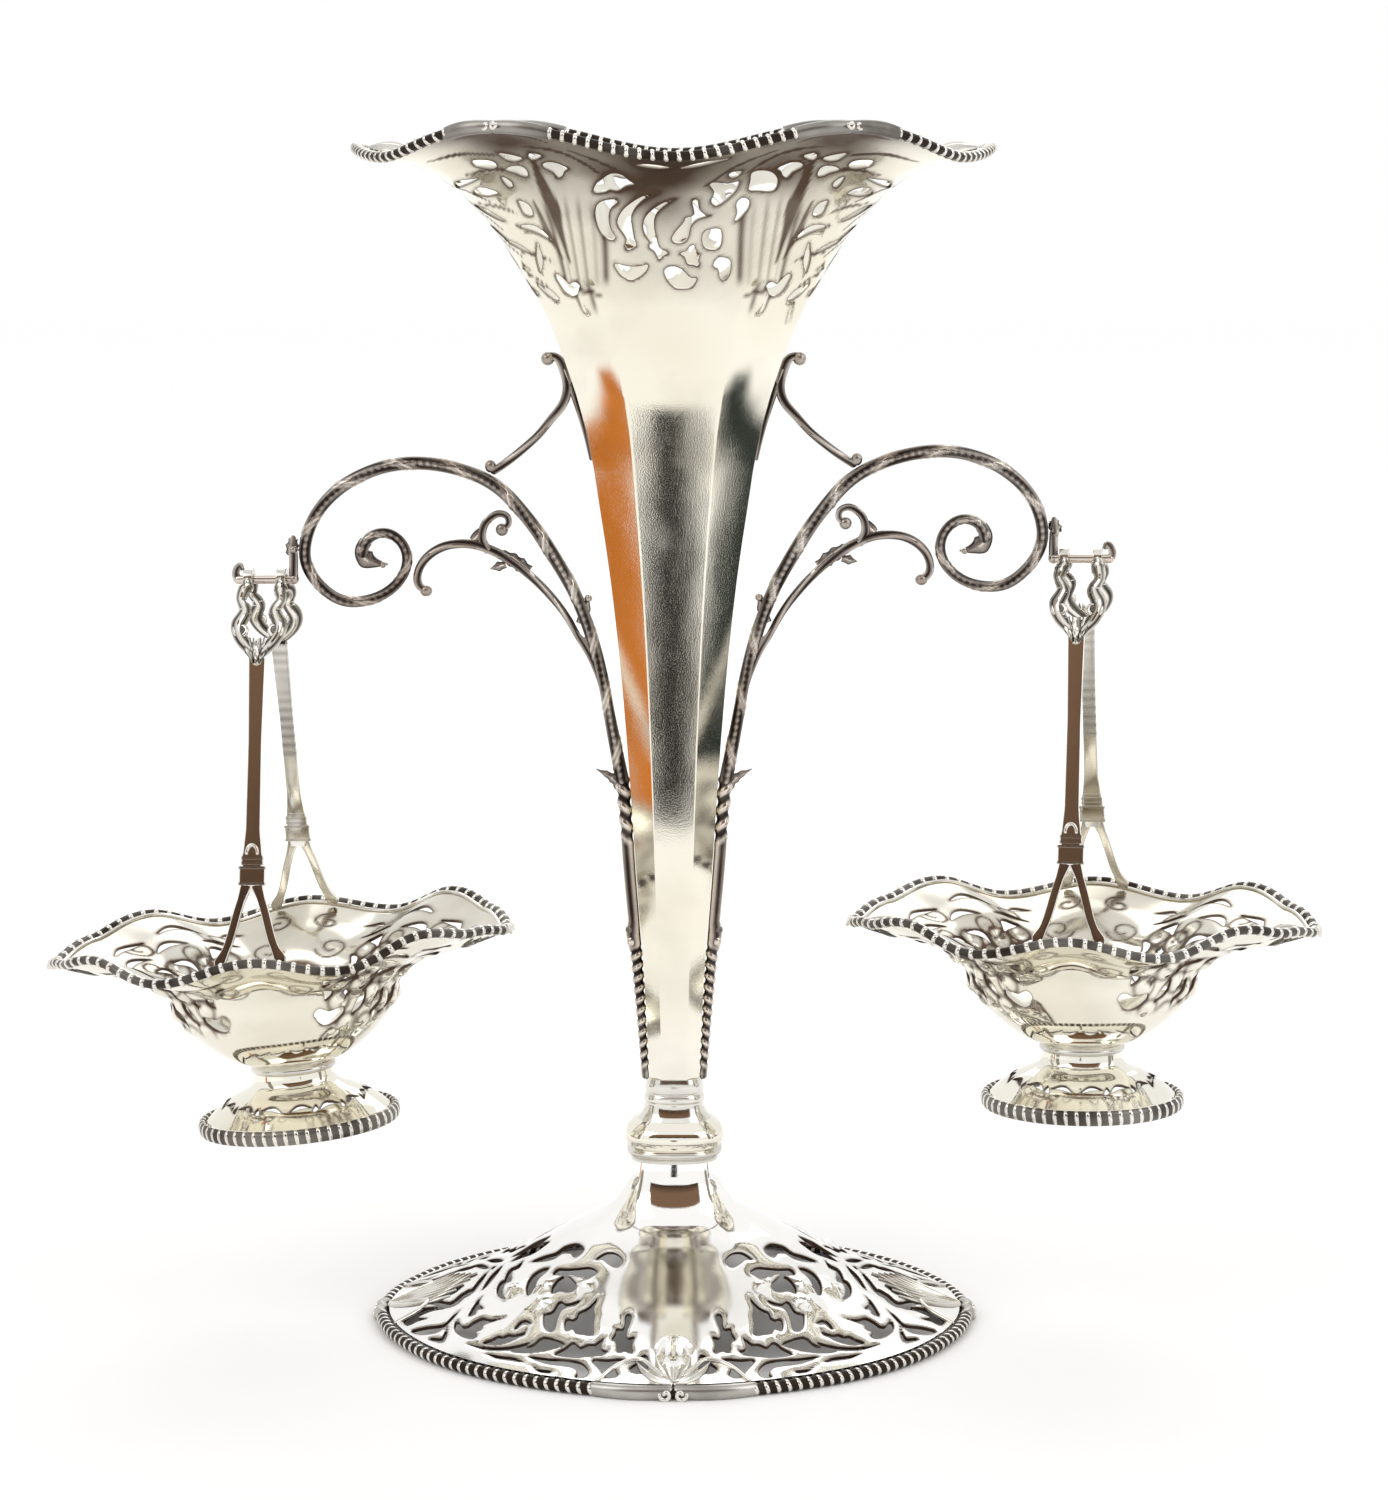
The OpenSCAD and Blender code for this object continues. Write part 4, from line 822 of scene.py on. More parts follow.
# %% [markdown]
# ## Gadroon borders
# The edges carry cast gadrooning: a row of rounded lobes with dark gaps. A rule like this belongs in
# Geometry Nodes: the tree below walks along the edge, sets a lobe at every pitch and turns it to the
# edge's own directions. The numbers that a border needs are the tree's named inputs, so one tree serves
# the foot, the mouth and the baskets.

# %% Gadroon tree
def link(tree, *pairs):
    for a, b in pairs:
        tree.links.new(a, b)


def gadroon_tree():
    tree = bpy.data.node_groups.new("gadroon", "GeometryNodeTree")
    face = tree.interface
    face.new_socket("Geometry", in_out="INPUT", socket_type="NodeSocketGeometry")
    for name in ("Pitch", "Fill", "Width", "Height", "Slant"):
        face.new_socket(name, in_out="INPUT", socket_type="NodeSocketFloat")
    face.new_socket("Material", in_out="INPUT", socket_type="NodeSocketMaterial")
    face.new_socket("Geometry", in_out="OUTPUT", socket_type="NodeSocketGeometry")
    given = node(tree, "NodeGroupInput").outputs
    edge = node(tree, "GeometryNodeMeshToCurve")
    spaced = node(tree, "GeometryNodeResampleCurve", mode="LENGTH")
    out = node(tree, "GeometryNodeInputNamedAttribute", data_type="FLOAT_VECTOR", Name="out")
    leaning = node(tree, "ShaderNodeVectorRotate", rotation_type="AXIS_ANGLE")
    turned = node(tree, "FunctionNodeAxesToRotation", primary_axis="X", secondary_axis="Y")
    size = node(tree, "ShaderNodeCombineXYZ")
    lobe = node(tree, "GeometryNodeMeshUVSphere", Segments=10, Rings=7, Radius=0.5)
    place = node(tree, "ShaderNodeSeparateXYZ")
    # tarnish and painted shade: each lobe darkens towards its ends, where it meets the next, and its top
    # stays light
    shade = math_node(tree, "MULTIPLY", math_node(tree, "ABSOLUTE", place.outputs["X"], 0), 2.0)
    shade = math_node(tree, "MULTIPLY", math_node(tree, "POWER", shade, 2.0), 0.95)
    stored = node(tree, "GeometryNodeStoreNamedAttribute", data_type="FLOAT", domain="POINT", Name="tarnish_and_painted_light")
    row = node(tree, "GeometryNodeInstanceOnPoints")
    real = node(tree, "GeometryNodeRealizeInstances")
    coat = node(tree, "GeometryNodeSetMaterial")
    made = node(tree, "NodeGroupOutput")
    out_vector = [s for s in out.outputs if s.name == "Attribute" and s.enabled][0]
    link(tree,
         (given["Geometry"], edge.inputs["Mesh"]), (edge.outputs["Curve"], spaced.inputs["Curve"]),
         (given["Pitch"], spaced.inputs["Length"]),
         (node(tree, "GeometryNodeInputTangent").outputs[0], leaning.inputs["Vector"]),
         (out_vector, leaning.inputs["Axis"]), (given["Slant"], leaning.inputs["Angle"]),
         (leaning.outputs[0], turned.inputs[0]), (out_vector, turned.inputs[1]),
         (math_node(tree, "MULTIPLY", given["Pitch"], given["Fill"]), size.inputs["X"]),
         (given["Width"], size.inputs["Y"]), (given["Height"], size.inputs["Z"]),
         (node(tree, "GeometryNodeInputPosition").outputs[0], place.inputs[0]),
         (lobe.outputs["Mesh"], stored.inputs["Geometry"]),
         (shade, [s for s in stored.inputs if s.name == "Value" and s.enabled][0]),
         (spaced.outputs["Curve"], row.inputs["Points"]),
         (stored.outputs["Geometry"], row.inputs["Instance"]),
         (turned.outputs[0], row.inputs["Rotation"]), (size.outputs[0], row.inputs["Scale"]),
         (row.outputs[0], real.inputs[0]), (real.outputs[0], coat.inputs["Geometry"]),
         (given["Material"], coat.inputs["Material"]), (coat.outputs[0], made.inputs[0]))
    return tree


GADROON = gadroon_tree()
print("gadroon tree:", len(GADROON.nodes), "nodes")

# %% Lobes and mouldings
def lobes(name, runs, pitch, width, height, slant, material, body="stand", place=None, fill=1.15):
    """Lobes along runs of (points, ways out), as one piece."""
    points, ways, edges, start = [], [], [], 0
    for p, o in runs:
        points.append(p)
        ways.append(o)
        edges += [(start + k, start + k + 1) for k in range(len(p) - 1)]
        start += len(p)
    points, ways = np.vstack(points), np.vstack(ways)
    if place is not None:
        points, ways = points @ place[:3, :3].T + place[:3, 3], ways @ place[:3, :3].T
    mesh = bpy.data.meshes.new(name + "_path")
    mesh.from_pydata((points / 1000).tolist(), edges, [])
    out = mesh.attributes.new("out", "FLOAT_VECTOR", "POINT")
    out.data.foreach_set("vector", ways.astype(np.float32).ravel())
    base = bpy.data.objects.new(name + "_path", mesh)
    bpy.context.collection.objects.link(base)
    modifier = base.modifiers.new("gadroon", "NODES")
    modifier.node_group = GADROON
    named = {s.name: s.identifier for s in GADROON.interface.items_tree if s.in_out == "INPUT"}
    for key, value in (("Pitch", pitch / 1000), ("Fill", fill), ("Width", width / 1000),
                       ("Height", height / 1000), ("Slant", math.radians(slant)), ("Material", material)):
        modifier[named[key]] = value
    seen = base.evaluated_get(bpy.context.evaluated_depsgraph_get())
    made = bpy.data.meshes.new_from_object(seen)
    bpy.data.objects.remove(base)
    return finish_piece(name, made, material, body, (), 60)


def ring_solid(centres, ways, ups, width, height, dark, sides=10):
    """Moulding of an oval section along a closed edge."""
    a = np.arange(sides) * TAU / sides
    rings = centres[:, None] + ways[:, None] * (np.cos(a) * width / 2)[None, :, None]
    rings = rings + ups[:, None] * (np.sin(a) * height / 2)[None, :, None]
    return rings.reshape(-1, 3), tube(len(centres), sides, closed=True), dark


def edge_line(sheet, wall, width, phi):
    """Middle, way out and way up of a border on a sheet's upper edge."""
    one = np.ones_like(phi)
    way, up = rise_of(sheet, phi, one), -normal(sheet, phi, one)
    return sheet(phi, one) + up * wall / 2 + way * width / 2, way, up


def foot_line(sheet, floor_z, width, height, phi):
    """The same for a border that stands on a level foot."""
    zero = np.zeros_like(phi)
    d = sheet(phi + TURN_STEP, zero) - sheet(phi - TURN_STEP, zero)
    way = unit(np.stack([d[:, 1], -d[:, 0], 0 * phi], -1))
    edge = sheet(phi, zero) + way * width / 2
    edge[:, 2] = floor_z + height / 2
    return edge, way, np.tile([0.0, 0.0, 1.0], (len(phi), 1))


around = np.arange(360) * TAU / 360
print("mouldings have", len(around), "steps")

# %% [markdown]
# ## Borders of the foot and the mouth
# On the foot four lengths of gadroon run between shells, and on the mouth they run between the scrolled
# corners. A plain moulding lies under the lobes, as on the casting, so that no daylight shows between
# them.

# %% Foot border and mouth border
FOOT_BORDER_WIDTH, FOOT_BORDER_HEIGHT = 4.2, 3.8
MOUTH_BORDER_WIDTH = 4


def foot_at(phi):
    return foot_line(foot_skin, 0, FOOT_BORDER_WIDTH, FOOT_BORDER_HEIGHT, phi)


def mouth_at(phi):
    return edge_line(vase_sheet, WALL, MOUTH_BORDER_WIDTH, phi)


piece("foot_border_core", [ring_solid(*foot_at(around), 3.6, 3.4, 1.05, 12)], CAST, replaces=["foot_border"])
runs = [foot_at(degrees(a, b, 90))[:2]
        for a, b in ((4.5, 74.7), (105.3, 175.5), (184.5, 254.7), (285.3, 355.5))]
lobes("foot_border_lobes", runs, 3.3, FOOT_BORDER_WIDTH, FOOT_BORDER_HEIGHT, 24, CAST, fill=0.8)

piece("mouth_border_core", [ring_solid(*mouth_at(around), 3.4, 2.6, 1.05)], CAST, replaces=["vase_border"])
runs = [mouth_at(degrees(a, b, 120))[:2]
        for a, b in ((-51, 51), (69.5, 110.5), (129, 231), (249.5, 290.5))]
lobes("mouth_border_lobes", runs, 3.5, 3.9, 3.4, 14, CAST, fill=0.62)

# %% [markdown]
# ## The stem
# Three turned rings join foot and vase. They are spun over a squared oval, so the outline of each is
# carried round that oval at many steps, which keeps the rings crisp.

# %% Stem
STEM_LENGTH, STEM_DEPTH = 30.4, 26


def stem_solid(profile, z, height, dark=0.0, columns=96, rows=40):
    p = spline(profile, shares(rows))
    phi = np.arange(columns) * TAU / columns
    r = squared(phi)[None] * p[:, 0:1] / 2
    level = np.repeat(z + height * p[:, 1:2], columns, 1)
    rings = np.stack([STEM_LENGTH * r * np.cos(phi), STEM_DEPTH * r * np.sin(phi), level], -1)
    return rings.reshape(-1, 3), tube(rows, columns) + lids(rows, columns), dark


LOWER_COLLAR = [[0.87, 0], [0.88, 0.3], [0.94, 0.5], [0.95, 0.8], [0.9, 1]]
KNOP = [[0.9, 0], [0.97, 0.2], [1, 0.42], [0.96, 0.65], [0.86, 0.84], [0.76, 1]]
UPPER_COLLAR = [[0.74, 0], [0.66, 0.13], [0.6, 0.3], [0.585, 0.4], [0.61, 0.46], [0.6, 0.56], [0.57, 0.62],
                [0.585, 0.7], [0.58, 0.86], [0.54, 1]]
piece("stem_lower_collar", [stem_solid(LOWER_COLLAR, 51, 3.8, 0.2)], CAST, replaces=["lower_collar"])
piece("stem_knop", [stem_solid(KNOP, 54.8, 8.7)], SHEET, replaces=["knop"])
piece("stem_upper_collar", [stem_solid(UPPER_COLLAR, 63.5, 12.5, 0.1)], CAST, replaces=["upper_collar"])

# %% [markdown]
# ## Cast bars and leaves
# The arms are castings: bars that swell, with leaves wrapped round them in low relief. A bar here is
# swept along its line with a relief over its length and its turn; its low places come out darker and its
# ridges lighter. That is tarnish, and on the arms and hooks also painted light: a painted reflection of a
# dark room and painted highlights on the ridges. A leaf is a small cupped blade with a notched edge and a
# raised middle rib.

# %% Bars and leaves
def bar(path, radius, sides=16, aside=(0, 1, 0), relief=None, flat=1.0, dark=0.25):
    """Round bar along a path, with domed ends and a relief over its length and its turn."""
    path, aside = np.asarray(path, float), np.asarray(aside, float)
    radius = np.array(np.broadcast_to(radius, len(path)), float)
    along = unit(np.gradient(path, axis=0))
    length = np.concatenate([[0], np.cumsum(np.linalg.norm(np.diff(path, axis=0), axis=1))])
    caps = np.radians([70, 45, 20])
    spots = np.concatenate([path[0] - np.outer(np.sin(caps), along[0]) * radius[0], path,
                            path[-1] + np.outer(np.sin(caps[::-1]), along[-1]) * radius[-1]])
    radii = np.concatenate([radius[0] * np.cos(caps), radius, radius[-1] * np.cos(caps[::-1])])
    ways = np.concatenate([[along[0]] * 3, along, [along[-1]] * 3])
    s = np.concatenate([[0] * 3, length, [length[-1]] * 3])
    v = unit(aside - (ways @ aside)[:, None] * ways)
    u = np.cross(v, ways)
    a = np.arange(sides) * TAU / sides
    lift = relief(s[:, None], a[None]) if relief else np.zeros((len(s), sides))
    lift = lift * np.minimum(1, radii / np.maximum(radius.mean(), 0.1))[:, None]
    r = radii[:, None] + lift
    rings = spots[:, None] + (r * np.cos(a))[..., None] * u[:, None]
    rings = rings + (r * np.sin(a) * flat)[..., None] * v[:, None]
    n = len(spots)
    points = np.vstack([rings.reshape(-1, 3), path[0] - along[0] * radius[0],
                        path[-1] + along[-1] * radius[-1]])
    faces = tube(n, sides)
    faces += [[n * sides, (k + 1) % sides, k] for k in range(sides)]
    faces += [[n * sides + 1, (n - 1) * sides + k, (n - 1) * sides + (k + 1) % sides] for k in range(sides)]
    # darker low places and lighter ridges: tarnish, and on the arms and hooks painted highlights
    tone = np.clip(dark - 2.6 * lift, 0, 1).ravel()
    return points, faces, np.concatenate([tone, [dark, dark]])


def leaf(path, half, aside, cup=0.3, notches=3, thick=0.5, across=11, dark=0.3):
    """Cupped blade along a path; it closes to a point at its end."""
    path, aside = np.asarray(path, float), np.asarray(aside, float)
    n = len(path)
    along = unit(np.gradient(path, axis=0))
    side = unit(aside - (along @ aside)[:, None] * along)
    up = np.cross(side, along)
    u, w = shares(n)[:, None], np.linspace(-1, 1, across)[None]
    outline = half * (0.35 + 0.65 * np.sin(np.pi * np.clip(u * 0.9 + 0.12, 0, 1))) * (1 - u**4) + 0.08
    outline = outline * (1 - 0.3 * np.abs(np.sin(notches * np.pi * u)) * np.abs(w) ** 2)
    lift = -cup * half * w**2 + 0.35 * np.exp(-((w / 0.18) ** 2)) * (1 - u)
    lift = lift + 0.18 * np.cos(notches * TAU * u - 3 * np.abs(w)) * np.abs(w)
    outer = path[:, None] + side[:, None] * (outline * w)[..., None] + up[:, None] * lift[..., None]
    inner = outer - up[:, None] * thick
    points, faces = thicken(outer.reshape(-1, 3), inner.reshape(-1, 3), net(n, across))
    # darker at the notches and edges, lighter on the raised rib: tarnish, and on the arms painted highlights
    tone = dark + 0.5 * np.abs(np.sin(notches * np.pi * u)) * np.abs(w) + 0.6 * w**6 - 0.6 * (lift > 0.15)
    tone = np.clip(tone, 0, 1).ravel()
    return points, faces, np.concatenate([tone, tone])


def flat_leaf(path, half, notches=3, thick=1.2, dark=0.45):
    """Leaf that lies in the plane of the arms, so that it shows its face to the front."""
    path = np.asarray(path, float)
    return leaf(path, half, np.cross([0.0, 1.0, 0.0], path[-1] - path[0]), 0.2, notches, thick, dark=dark)


def fair(points, steps, soft):
    """Even steps along a smooth line through points, with its kinks eased."""
    p = spline(points, shares(8 * steps))
    far = np.concatenate([[0], np.cumsum(np.linalg.norm(np.diff(p, axis=0), axis=1))])
    even = np.linspace(0, far[-1], steps)
    line = np.stack([np.interp(even, far, p[:, k]) for k in range(3)], -1)
    for _ in range(soft):
        line[1:-1] = (line[:-2] + 2 * line[1:-1] + line[2:]) / 4
    return line


def ball(centre, radii, dark=0.2, rows=8, columns=14):
    a, b = np.meshgrid(np.linspace(0, np.pi, rows + 1)[1:-1], np.arange(columns) * TAU / columns,
                       indexing="ij")
    p = np.stack([np.sin(a) * np.cos(b), np.sin(a) * np.sin(b), np.cos(a)], -1).reshape(-1, 3)
    p = np.vstack([p, [0, 0, 1], [0, 0, -1]]) * radii + np.asarray(centre, float)
    n = rows - 1
    faces = [[a, d, c, b] for a, b, c, d in tube(n, columns)]
    faces += [[n * columns, k, (k + 1) % columns] for k in range(columns)]
    faces += [[n * columns + 1, (n - 1) * columns + (k + 1) % columns, (n - 1) * columns + k]
              for k in range(columns)]
    return p, faces, dark


print("bars, leaves and balls ready")

# %% [markdown]
# ## The arms
# Each arm grows up the side of the vase as a leaf strip, parts from it, and turns over in a large scroll
# that ends in a volute. A brace with a small curl runs under it and a bracket holds it to the vase. The
# lines are given as shares of the way from the vase to the hook, as on the CAD model. The left arm sags a
# little, as on the real piece.

# %% Arm lines
ARM_FOOT, HOOK_Z = 167, 234
SOLDER_GAP = 0.15
VASE_END = vase_sheet(np.zeros(800), shares(800))
VASE_X = round(float(np.interp(HOOK_Z, VASE_END[:, 2], VASE_END[:, 0])), 3)
SIDES = {-1: dict(hand="left", reach=121.5, sag=3.5, droop=1, turn=5, tilt=4.5),
         1: dict(hand="right", reach=121.3, sag=0, droop=-1, turn=11, tilt=0)}
ARM = [[-0.005, 0.263], [0.029, 0.537], [0.082, 0.797], [0.146, 0.989], [0.239, 1.207], [0.337, 1.368],
       [0.473, 1.457], [0.613, 1.476], [0.749, 1.416], [0.85, 1.284], [0.887, 1.11], [0.86, 0.991],
       [0.774, 0.878], [0.661, 0.895], [0.592, 0.991], [0.591, 1.11], [0.65, 1.185], [0.713, 1.144],
       [0.716, 1.094]]
BRACE = [[0.093, 0.663], [0.126, 0.758], [0.171, 0.852], [0.221, 0.936], [0.282, 1.015], [0.347, 1.073],
         [0.408, 1.102], [0.475, 1.1], [0.525, 1.063], [0.555, 1.005], [0.559, 0.936], [0.533, 0.905]]
CURL = [[0.352, 1.073], [0.367, 1.126], [0.359, 1.189], [0.325, 1.229], [0.295, 1.218], [0.29, 1.179],
        [0.31, 1.157]]
BRACKET = [[0.05, 0.235], [0.22, 0.41], [0.39, 0.59], [0.59, 0.74], [0.81, 0.89], [1, 1]]


def arm_place(points, side):
    p = np.asarray(points, float).reshape(-1, 2)
    x = mix(VASE_X, SIDES[side]["reach"], p[:, 0])
    sag = np.maximum(0, x - VASE_X) * math.tan(math.radians(SIDES[side]["sag"]))
    return np.stack([x, 0 * x, mix(ARM_FOOT, HOOK_Z, p[:, 1]) - sag], -1)


def vase_side(height, thick):
    """Places on the vase's end, clear of it by half a thickness."""
    z = VASE_FOOT + np.asarray(height, float)
    x = np.interp(z, VASE_END[:, 2], VASE_END[:, 0]) + np.asarray(thick) / 2 + SOLDER_GAP
    return np.stack([x, 0 * z, z], -1)


def to_side(parts, side):
    """The right hand's parts, mirrored for the left."""
    return parts if side > 0 else mirrored(parts, [-1, 1, 1])


def wrap(s, a):
    """Leaf bands wound round a bar, fine ridges along it and a line of beads on its front and back."""
    turn = s + 3.2 * np.cos(a)
    band = np.exp(-((((turn % 17) - 8.5) / 2.4) ** 2))
    beads = np.exp(-(1 - np.abs(np.sin(a))) / 0.1) * np.cos(s * TAU / 2.1)
    ridges = 0.13 * np.cos(5 * a + 0.12 * s) + 0.1 * beads
    return band * (0.24 + 0.14 * np.cos(turn * TAU / 2.4)) + (1 - band) * ridges - 0.05


def strip(s, a):
    """The bar on the vase: slanting lobes below, a plain moulded length, and a twist of leaves above."""
    low, high = smooth(0, 5, s) * smooth(42, 38, s), smooth(70, 77, s)
    lobed = 0.34 * low * np.cos(s * TAU / 3.4 + 1.3 * np.cos(a))
    twisted = 0.36 * high * np.cos(s * TAU / 5.2 - 1.6 * np.cos(a))
    return lobed + twisted + (1 - low) * (1 - high) * 0.2 * np.cos(3 * a + 0.6)


def thread(s, a):
    return 0.16 * np.cos(3 * a + 0.15 * s)


CLIMB = np.linspace(0, 91, 220)
ROOT_D = np.interp(CLIMB, [0, 38, 44, 48, 74, 91], [2.2, 3.6, 4.4, 3.4, 3.8, 4.2])
ROOT = vase_side(CLIMB, ROOT_D)
KNEE = ROOT[np.searchsorted(CLIMB, 44)]
print("arm's strip climbs to", ROOT[-1].round(1))

# %% Arm castings
def scroll_run(side):
    """Line of an arm from the top of its strip to the end of its volute."""
    return fair(np.vstack([ROOT[-1:], arm_place(ARM, side)]), 400, 40)


def arm_parts(side):
    """Strip on the vase, scroll and volute, with their leaves and knobs."""
    run = scroll_run(side)
    thick = np.interp(shares(400), [0, 0.1, 0.3, 0.6, 0.96, 1], [4.2, 3.4, 4.1, 3.8, 2.9, 3.4])
    # the arm's high dark values paint in the reflection of a dark room; its ridges stay light as painted
    # highlights
    parts = [bar(ROOT, ROOT_D / 2, 20, relief=strip, flat=1.25, dark=0.55),
             bar(run, thick / 2, 22, relief=wrap, flat=1.1, dark=0.72)]
    head = fair(arm_place([[0.708, 1.14], [0.722, 1.1], [0.708, 1.06], [0.68, 1.04], [0.645, 1.03]], side),
                20, 2)
    parts += [flat_leaf(head, 3.0, 2, 2.6, 0.5), ball(head[4], [1.5, 1.9, 1.5], 0.4),
              ball(head[-3], [1.0, 1.4, 1.0], 0.3)]
    sprout = ROOT[-6] + spline([[0.2, 0, -3], [2.0, 0, 1.4], [4.6, 0, 3.6], [8.2, 0, 5.4]], shares(20))
    parts.append(flat_leaf(sprout, 1.7, 4))
    bud = run[np.argmin(np.abs(run[:200, 2] - 220 + 12 * math.tan(math.radians(SIDES[side]["sag"]))))]
    parts += [flat_leaf(bud + spline([[0.4, 0, -5], [-1.2, 0, -0.5], [-2.6, 0, 3.4]], shares(14)), 1.9, 2),
              ball(bud + [-2.2, 0, 2.6], [1.2, 1.3, 1.2], 0.35)]
    parts += [ball(KNEE + [0.5, 0, 1.2], [2.0, 2.3, 1.7], 0.75),
              ball(KNEE + [0.6, -1.0, -2.2], [1.5, 1.6, 1.9], 0.0)]
    return parts


def brace_parts(side):
    """Brace with its curl, the web between it and the arm, and three leaves."""
    run = scroll_run(side)
    line = fair(arm_place([[0.014, 0.38], [0.032, 0.48], [0.06, 0.58]] + BRACE, side), 160, 12)
    curl = fair(arm_place(CURL, side), 70, 4)
    parts = [bar(line, np.interp(shares(160), [0, 0.25, 0.6, 1], [0.7, 1.05, 1.4, 1.2]), 16, relief=thread,
                 dark=0.68),
             bar(curl, mix(1.3, 0.9, shares(70)), 14, relief=thread, dark=0.68),
             ball(line[-1], [1.9, 1.6, 1.7], 0.5), ball(curl[-1], [1.9, 1.6, 1.9], 0.5)]
    top = np.argmax(line[:, 2] > arm_place([[0.08, 0.72]], side)[0, 2])
    web = []
    for k in shares(6):
        rows = np.linspace(0, top * (1 - 0.22 * math.sin(math.pi * k)), 30)
        low = np.stack([np.interp(rows, np.arange(160), line[:, c]) for c in range(3)], -1)
        near = run[np.argmin(np.abs(run[None, :200, 2] - low[:, None, 2]), 1)]
        web.append(mix(low, near, k))
    web = np.stack(web, 1)
    squares = [[a, d, c, b] for a, b, c, d in net(30, 6)]
    front, back = (web + [0, -0.7, 0]).reshape(-1, 3), (web + [0, 0.7, 0]).reshape(-1, 3)
    parts.append((*thicken(front, back, squares), 0.66))
    knot = arm_place([[0.23, 0.965], [0.335, 1.075], [0.395, 1.115], [0.352, 1.185], [0.3, 1.0],
                      [0.345, 0.985]], side)
    parts += [flat_leaf(mix(knot[0], knot[1], shares(16)[:, None]), 2.5, 4),
              flat_leaf(mix(knot[2], knot[3], shares(12)[:, None]), 2.0, 1),
              flat_leaf(mix(knot[4], knot[5], shares(12)[:, None]), 1.6, 2)]
    return parts


def bracket_parts(side):
    """Bracket from the vase to the top of the arm, and the stay under it."""
    pad = vase_side(np.array([0.761, 0.79]) * VASE_HEIGHT, 3.52)
    way = arm_place([[0.332, 1.423]], side)[0] - pad[0]
    rest = [pad[0] + way * [x, 0, z] for x, z in BRACKET]
    line = fair(np.vstack([pad[1] + [2.64, 0, 0], pad[1], pad[0], rest]), 120, 60)
    stay = vase_side(np.linspace(0.68, 0.775, 24) * VASE_HEIGHT, mix(1.0, 2.6, shares(24)))
    swell = np.interp(shares(120), [0, 0.15, 0.6, 1], [1.0, 1.5, 1.15, 1.2])
    return [bar(line, swell, 14, relief=thread, dark=0.7),
            bar(stay, mix(0.5, 1.3, shares(24)), 12, relief=thread, dark=0.7),
            ball(line[0] + [0.4, 0, -0.8], [2.0, 1.7, 2.0], 0.45),
            ball(line[-1] + [1.0, 0, 1.2], [1.7, 1.5, 1.9], 0.5)]


# arms, braces and brackets take that darker silver and high dark values: painted reflection of a dark room
for side, facts in SIDES.items():
    hand = facts["hand"]
    piece("arm_scroll_" + hand, to_side(arm_parts(side), side), PAINTED_REFLECTION_SILVER, replaces=["arm_" + hand])
    piece("arm_brace_" + hand, to_side(brace_parts(side), side), PAINTED_REFLECTION_SILVER, replaces=["brace_" + hand])
    piece("arm_bracket_" + hand, to_side(bracket_parts(side), side), PAINTED_REFLECTION_SILVER, replaces=["bracket_" + hand])

# %% [markdown]
# ## Hooks
# A short leafy neck runs from the scroll's outer side to the bar that the basket hangs on, and the bar
# ends in an upturned scroll that keeps the loops from sliding off. The bar itself stays plain and round,
# because the loops turn on it.

# %% Hooks
def hook_middle(side):
    return arm_place([[1, 1]], side)[0]


def hook_matrix(side):
    x, _, z = hook_middle(side)
    turn = Matrix.Rotation(math.radians(-SIDES[side]["turn"]), 4, "Z")
    droop = Matrix.Rotation(math.radians(side * SIDES[side]["droop"]), 4, "Y")
    return np.array(Matrix.Translation((side * x, 0, z)) @ turn @ droop)


def moved(parts, place):
    return [(np.asarray(p) @ place[:3, :3].T + place[:3, 3], f, d) for p, f, d in parts]


BAR_D, BAR_HALF = 2.8, 8.44
for side, facts in SIDES.items():
    droop, turn = math.radians(facts["droop"]), math.radians(facts["turn"])
    level = BAR_HALF * math.cos(droop)
    knuckle = hook_middle(side) + [-level * math.cos(turn), side * level * math.sin(turn),
                                   BAR_HALF * math.sin(droop)]
    flank = arm_place([[0.883, 1.165], [0.887, 1.115]], side) + 3.68 * np.array([1, 0, 0.18])
    bend = [mix(flank[1][0], knuckle[0], 0.8), knuckle[1] / 2, knuckle[2] + 2.6 * BAR_D]
    tail = spline(np.vstack([flank, [bend], knuckle + [[0, 0, BAR_D], [0, 0, 0]]]), shares(60))
    neck = to_side([bar(tail, 1.33 * mix(0.6, 1, np.minimum(1, shares(60) * 2.5)), 16, relief=thread,
                        dark=0.6),
                    flat_leaf(tail[2:36], 2.2, 4, 2.4), ball(tail[30] + [0, 0, 1.6], [1.3, 1.4, 1.3], 0.4)],
                   side)
    upturn = spline([[0, 0, 0], [side * 0.7, 0, 1.6], [side * 0.2, 0, 3.4], [-side * 0.8, 0, 4.3],
                     [-side * 1.3, 0, 3.5]], shares(40))
    rod = [bar(np.outer(np.linspace(-BAR_HALF, BAR_HALF, 9), [1, 0, 0]), BAR_D / 2, 24, dark=0.1),
           ball((-side * BAR_HALF, 0, 0), [1.6, 1.6, 1.6], 0.3),
           bar(np.array([side * BAR_HALF, 0, 0]) + upturn, mix(1.25, 0.8, shares(40)), 14, relief=thread,
               dark=0.6)]
    # the hooks take the arms' darker silver: painted reflection of a dark room
    piece("hook_" + facts["hand"] + "_bar", neck + moved(rod, hook_matrix(side)), PAINTED_REFLECTION_SILVER,
          replaces=["hook_" + facts["hand"]])

# %% [markdown]
# ## Shells of the foot and the mouth
# Where the gadroon lengths meet, the border turns into scrolls round a shell: four on the foot, four on
# the mouth's corners, and a fluted shell lies inside each end of the mouth.

